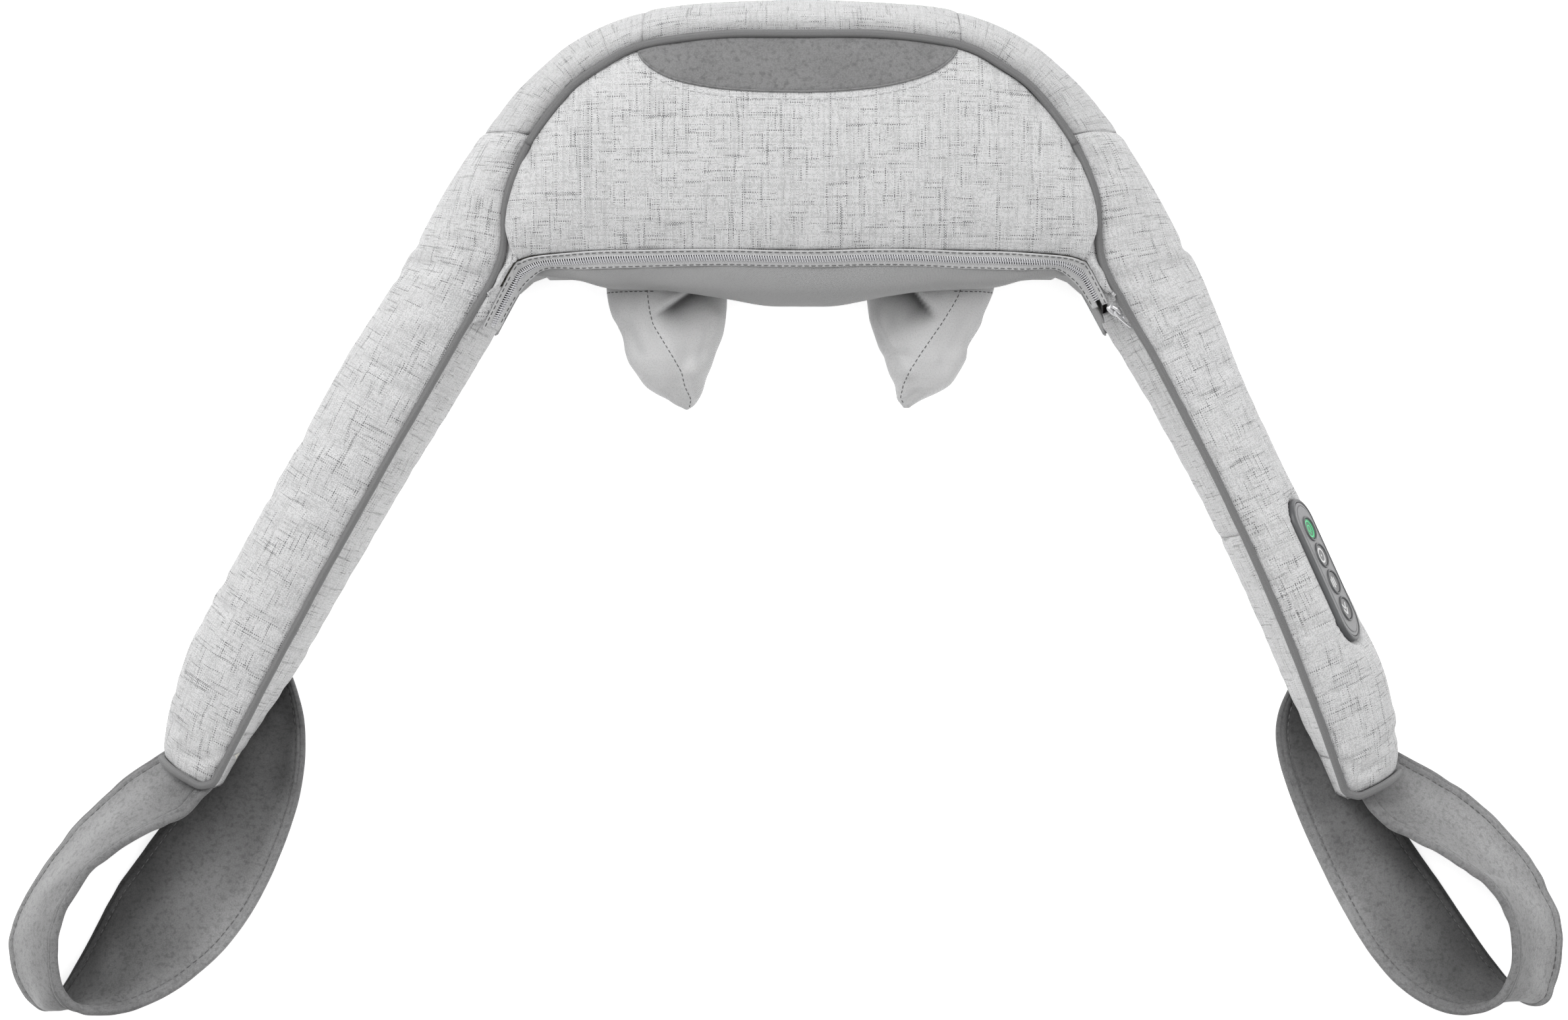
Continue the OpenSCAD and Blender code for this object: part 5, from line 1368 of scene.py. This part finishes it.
# ------------------------------------------------------------------ control panel
BX = [-22.5, -7.5, 7.5, 22.5]
KR = 5.6
KEYS = ["power", "heat", "knead", "speed"]
prof = [(2.05, -6), (2.05, 0.9), (1.85, 1.28), (1.35, 1.5), (0.75, 1.42), (0.25, 1.02), (0.0, 0.4), (-0.12, -0.8), (-0.12, -1.3), (0.1, -1.6), (0.1, -10.5), (1.2, -10.9)]
ob = fix_normals(merge("panel_bezel", [swept_stadium(prof, PANEL_LEN, PANEL_W, from_panel, 40)], M_BEZEL))
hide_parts("panel_housing"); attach(ob, "right_arm")
fl, fw = PANEL_LEN - 4.5, PANEL_W - 4.5
edge = swept_stadium([(0, -0.5), (0, 0.9), (0.12, 1.15), (0.4, 1.3), (1.5, 1.38), (1.68, 1.05), (1.92, 0.98), (2.12, 1.08), (2.3, 1.5), (2.6, 1.6), (3.2, 1.62)], fl, fw, from_panel, 40, close=False)
inner = stadium(fl - 6.4, fw - 6.4, 40)
circ = lambda x, r, n=40: np.stack([x + r*np.cos(np.linspace(0, 2*np.pi, n, endpoint=False)), r*np.sin(np.linspace(0, 2*np.pi, n, endpoint=False))], 1)
mid = plate_data(inner, [circ(x, KR + 0.25) for x in BX], -0.5, 1.62, from_panel)
ob = merge("panel_face", [edge, mid], M_FASCIA)
bm = bmesh.new(); bm.from_mesh(ob.data); bmesh.ops.remove_doubles(bm, verts=bm.verts, dist=0.02*MM); bmesh.ops.recalc_face_normals(bm, faces=bm.faces); bm.to_mesh(ob.data); bm.free()
for p in ob.data.polygons:
    p.use_smooth = False
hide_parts("panel_fascia"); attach(ob, "right_arm")
# the raised rings round the keys take the dark bezel plastic as painted shade for the gaps round the keys
rings = [disc_data([(KR + 0.22, 0.2), (KR + 0.22, 2.05), (KR + 0.38, 2.36), (KR + 0.75, 2.5), (KR + 1.12, 2.34), (KR + 1.3, 1.95), (KR + 1.36, 1.4)], (x, 0), from_panel) for x in BX]
ob = fix_normals(merge("panel_key_rings", rings, M_BEZEL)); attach(ob, "right_arm")


def flat_icon(polys, z):
    """thin inlays: each entry is (outline, holes)"""
    return [plate_data(o, h, z, z + 0.10, from_panel) for o, h in polys]


def arc_band(x, r0, r1, a0, a1, n=30):
    t = np.radians(np.linspace(a0, a1, n))
    return np.concatenate([np.stack([x + r1*np.cos(t), r1*np.sin(t)], 1), np.stack([x + r0*np.cos(t[::-1]), r0*np.sin(t[::-1])], 1)])


def bar(cx, cy, l, w, ang=0.0):
    o = stadium(l, w, 8)
    c, s_ = math.cos(math.radians(ang)), math.sin(math.radians(ang))
    return np.stack([cx + o[:, 0]*c - o[:, 1]*s_, cy + o[:, 0]*s_ + o[:, 1]*c], 1)


ICONS = {
    "power": [(circ(BX[0], 4.6), [circ(BX[0], 4.0)]), (arc_band(BX[0], 1.7, 2.15, 40, 320), []), (bar(BX[0] + 1.6, 0, 2.2, 0.45), [])],
    "heat": [(circ(BX[1], 4.2), [circ(BX[1], 3.1)]), (circ(BX[1], 0.6, 20), [])],
    "knead": [(bar(BX[2], -2.2, 4.6, 1.0), []), (bar(BX[2], 0, 6.4, 1.3), []), (bar(BX[2], 2.2, 4.6, 1.0), [])],
    "speed": [(bar(BX[3] - 1.6, -1.4, 4.2, 1.0, 40), []), (bar(BX[3] - 1.6, 1.4, 4.2, 1.0, -40), []), (bar(BX[3] + 1.4, -1.4, 4.2, 1.0, 40), []), (bar(BX[3] + 1.4, 1.4, 4.2, 1.0, -40), [])],
}
for x, kname in zip(BX, KEYS):
    body = kname + "_key"
    d = disc_data([(0.02, 1.52), (2.4, 1.53), (4.4, 1.62), (5.05, 1.86), (5.35, 1.95), (5.55, 1.78), (KR, 1.4), (KR, -2.2), (3.0, -2.3), (0.02, -2.3)], (x, 0), from_panel)
    ob = fix_normals(merge(kname + "_key_cap", [d], M_KEYG if kname == "power" else M_KEY))
    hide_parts(kname + "_button"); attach(ob, body)
    ic = ICONS[kname]
    if kname == "power":
        parts = flat_icon(ic[:1], 1.60) + flat_icon(ic[1:], 1.50)
    elif kname == "heat":
        parts = flat_icon(ic[:1], 1.58) + flat_icon(ic[1:], 1.48)
    else:
        parts = flat_icon(ic, 1.52)
    ob = fix_normals(merge(kname + "_key_icon", parts, M_ICONG if kname == "power" else M_ICON, smooth=False))
    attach(ob, body)

# ------------------------------------------------------------------ zip slider and pull
def rot_axis(a, t):
    return np.array(Matrix.Rotation(math.radians(t), 3, a))


SR = rot_axis("Z", -42) @ rot_axis("Y", 22) @ rot_axis("X", -12)
SO = np.array([158.6, -79.2, 54.4])
from_slider = lambda V: np.asarray(V, float) @ SR.T + SO


def lozenge(l, w0, w1, n=40, e=0.62):
    t = np.linspace(0, 2*np.pi, n, endpoint=False)
    x = l/2*np.sign(np.cos(t))*np.abs(np.cos(t))**e
    w = np.interp(x, [-l/2, l/2], [w0/2, w1/2])
    return np.stack([x, w*np.sign(np.sin(t))*np.abs(np.sin(t))**e], 1)


def stack_rings(rings, tf):
    n = len(rings[0][0])
    V = np.concatenate([np.c_[o, np.full(n, z)] for o, z in rings])
    F = [(i*n + j, i*n + (j+1) % n, (i+1)*n + (j+1) % n, (i+1)*n + j) for i in range(len(rings) - 1) for j in range(n)]
    F += [tuple(range(n-1, -1, -1)), tuple((len(rings)-1)*n + j for j in range(n))]
    return tf(V), F


top = stack_rings([(lozenge(7.6, 4.6, 3.4), 1.25), (lozenge(8.4, 5.5, 4.2), 1.5), (lozenge(8.4, 5.5, 4.2), 1.95), (lozenge(7.9, 5.0, 3.8), 2.22), (lozenge(6.6, 3.9, 2.8), 2.36)], from_slider)
bot = stack_rings([(lozenge(7.6, 4.8, 3.6), 0.1), (lozenge(8.2, 5.3, 4.1), 0.35), (lozenge(8.2, 5.3, 4.1), 0.7), (lozenge(7.2, 4.2, 3.0), 0.9)], from_slider)
core = stack_rings([(lozenge(3.0, 1.0, 2.0, 16) + np.array([-2.2, 0]), 0.6), (lozenge(3.0, 1.0, 2.0, 16) + np.array([-2.2, 0]), 1.5)], from_slider)
bpath = spl([[-3.0, 0, 1.9], [-2.85, 0, 3.7], [-1.6, 0, 5.0], [0, 0, 5.25], [1.6, 0, 5.0], [2.85, 0, 3.7], [3.0, 0, 1.9]], np.linspace(0, 6, 40))
v_, f_, u_ = tube_data(from_slider(bpath), 0.62, 12, ry=1.5)
ob = fix_normals(merge("zip_slider_body", [top, bot, core, (v_, f_)], M_ZINC))
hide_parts("zipper_slider"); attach(ob, "zip_slider")
from_pull = lambda V: from_slider(np.asarray(V, float) + np.array([0, 0, 3.7]))
outline = [[-0.75, -1.5], [-0.35, -2.05], [0.4, -2.25], [4.2, -2.2], [8.4, -1.85], [12.0, -1.45], [12.7, -1.1], [12.95, -0.5], [12.95, 0.5], [12.7, 1.1], [12.0, 1.45], [8.4, 1.85], [4.2, 2.2], [0.4, 2.25], [-0.35, 2.05], [-0.75, 1.5]]
h1 = [[0.55, -1.15], [3.2, -1.15], [3.5, -0.85], [3.5, 0.85], [3.2, 1.15], [0.55, 1.15]]
h2 = [[10.2, -0.62], [11.9, -0.62], [12.0, -0.4], [12.0, 0.4], [11.9, 0.62], [10.2, 0.62]]
ob = fix_normals(merge("zip_pull_tab", [plate_data(outline, [h1, h2], -0.55, 0.55, from_pull)], M_ZINC, smooth=False))
bevel(ob, 0.2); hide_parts("zipper_pull"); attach(ob, "zip_pull")
rib = stack_rings([(lozenge(4.6, 2.0, 1.5) + np.array([6.8, 0]), 0.45), (lozenge(4.2, 1.7, 1.2) + np.array([6.8, 0]), 0.8)], from_pull)
v_, f_, u_ = tube_data(from_pull([[0, -1.6, 0], [0, 0, 0], [0, 1.6, 0]]), 0.5, 12)
ob = fix_normals(merge("zip_pull_rib", [rib, (v_, f_)], M_ZINC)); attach(ob, "zip_pull")

# ------------------------------------------------------------------ finishes of the parts inside
M_ABS = plain("abs_black", (0.030, 0.032, 0.035), 0.45, grain=0.10, scale=2500)
M_STEEL = plain("ground_steel", (0.56, 0.57, 0.58), 0.26, 1.0, grain=0.05, scale=3000)
M_POM = plain("acetal", (0.78, 0.76, 0.70), 0.33, grain=0.03, coat=0.1)
M_BRONZE = plain("sintered_bronze", (0.46, 0.30, 0.12), 0.42, 0.9, grain=0.12, scale=3000)
M_SIL = plain("silicone", (0.66, 0.62, 0.57), 0.62, grain=0.03)
M_CELL = plain("cell_sleeve", (0.05, 0.16, 0.40), 0.25, grain=0.04, coat=0.4)
M_PCB = plain("solder_mask", (0.015, 0.14, 0.055), 0.35, grain=0.15, coat=0.3)
M_WIRE = plain("wire_sleeve", (0.40, 0.03, 0.02), 0.38, grain=0.04)
M_FOAM = plain("foam", (0.86, 0.83, 0.74), 0.95, grain=0.10, scale=1500)
INSIDE = {}
for names, m in (("chassis_plate gearbox_lower_case gearbox_upper_case motor_end_cap bearing_pillars left_hand_frame right_hand_frame charging_port", M_ABS),
                 ("case_screws chassis_screws motor motor_shaft drive_shaft shaft_clips guide_posts", M_STEEL),
                 ("worm worm_wheel left_wobble_bush right_wobble_bush", M_POM),
                 ("shaft_bushings left_hub_bearing right_hub_bearing", M_BRONZE),
                 ("left_hand_nodes right_hand_nodes", M_SIL), ("battery_pack", M_CELL), ("main_board panel_board", M_PCB),
                 ("head_wiring", M_WIRE), ("top_foam_pad side_foam left_arm_foam right_arm_foam", M_FOAM)):
    for n in names.split():
        INSIDE[n] = m
for n, m in INSIDE.items():
    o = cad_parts[n]
    o.data.materials.clear()
    o.data.materials.append(m)

# ------------------------------------------------------------------ studio
scene = bpy.context.scene
m, nt, b = new_mat("studio_floor")
b.inputs["Base Color"].default_value = (0.93, 0.93, 0.93, 1)
b.inputs["Roughness"].default_value = 0.9
b.inputs["Specular IOR Level"].default_value = 0.1
b.inputs["Emission Color"].default_value = (1, 1, 1, 1)
b.inputs["Emission Strength"].default_value = 0.66
bpy.ops.mesh.primitive_plane_add(size=14, location=(0, -0.18, -0.0012))
floor = bpy.context.object
floor.name = "floor"
floor.data.materials.append(m)
w = bpy.data.worlds.new("studio")
scene.world = w
w.use_nodes = True
w.node_tree.nodes["Background"].inputs[0].default_value = (1.0, 1.0, 1.0, 1)
w.node_tree.nodes["Background"].inputs[1].default_value = 0.36


def area(name, loc, target, size, power):
    d = bpy.data.lights.new(name, "AREA")
    d.shape = "RECTANGLE"
    d.size, d.size_y = size
    d.energy = power
    o = bpy.data.objects.new(name, d)
    scene.collection.objects.link(o)
    o.location = loc
    o.rotation_euler = (Vector(target) - Vector(loc)).to_track_quat("-Z", "Y").to_euler()
    return o


area("key_light", (-1.2, 1.3, 1.9), (0, -0.2, 0), (1.5, 1.2), 40)
area("fill_light", (1.6, 0.4, 1.9), (0, -0.2, 0), (1.4, 1.4), 18)
area("top_light", (0.0, 0.1, 2.6), (0, -0.2, 0), (2.0, 1.6), 20)

cam = bpy.data.cameras.new("camera")
cam.lens = 67.5
cam.sensor_width = 36
cam.clip_end = 20
co = bpy.data.objects.new("camera", cam)
scene.collection.objects.link(co)
co.location = (-0.0087, -0.1808, 1.55)
co.rotation_euler = (0, 0, 0)
scene.camera = co
scene.view_settings.view_transform = "Standard"
scene.view_settings.look = "None"
scene.view_settings.exposure = 0.0
scene.view_settings.gamma = 1.0
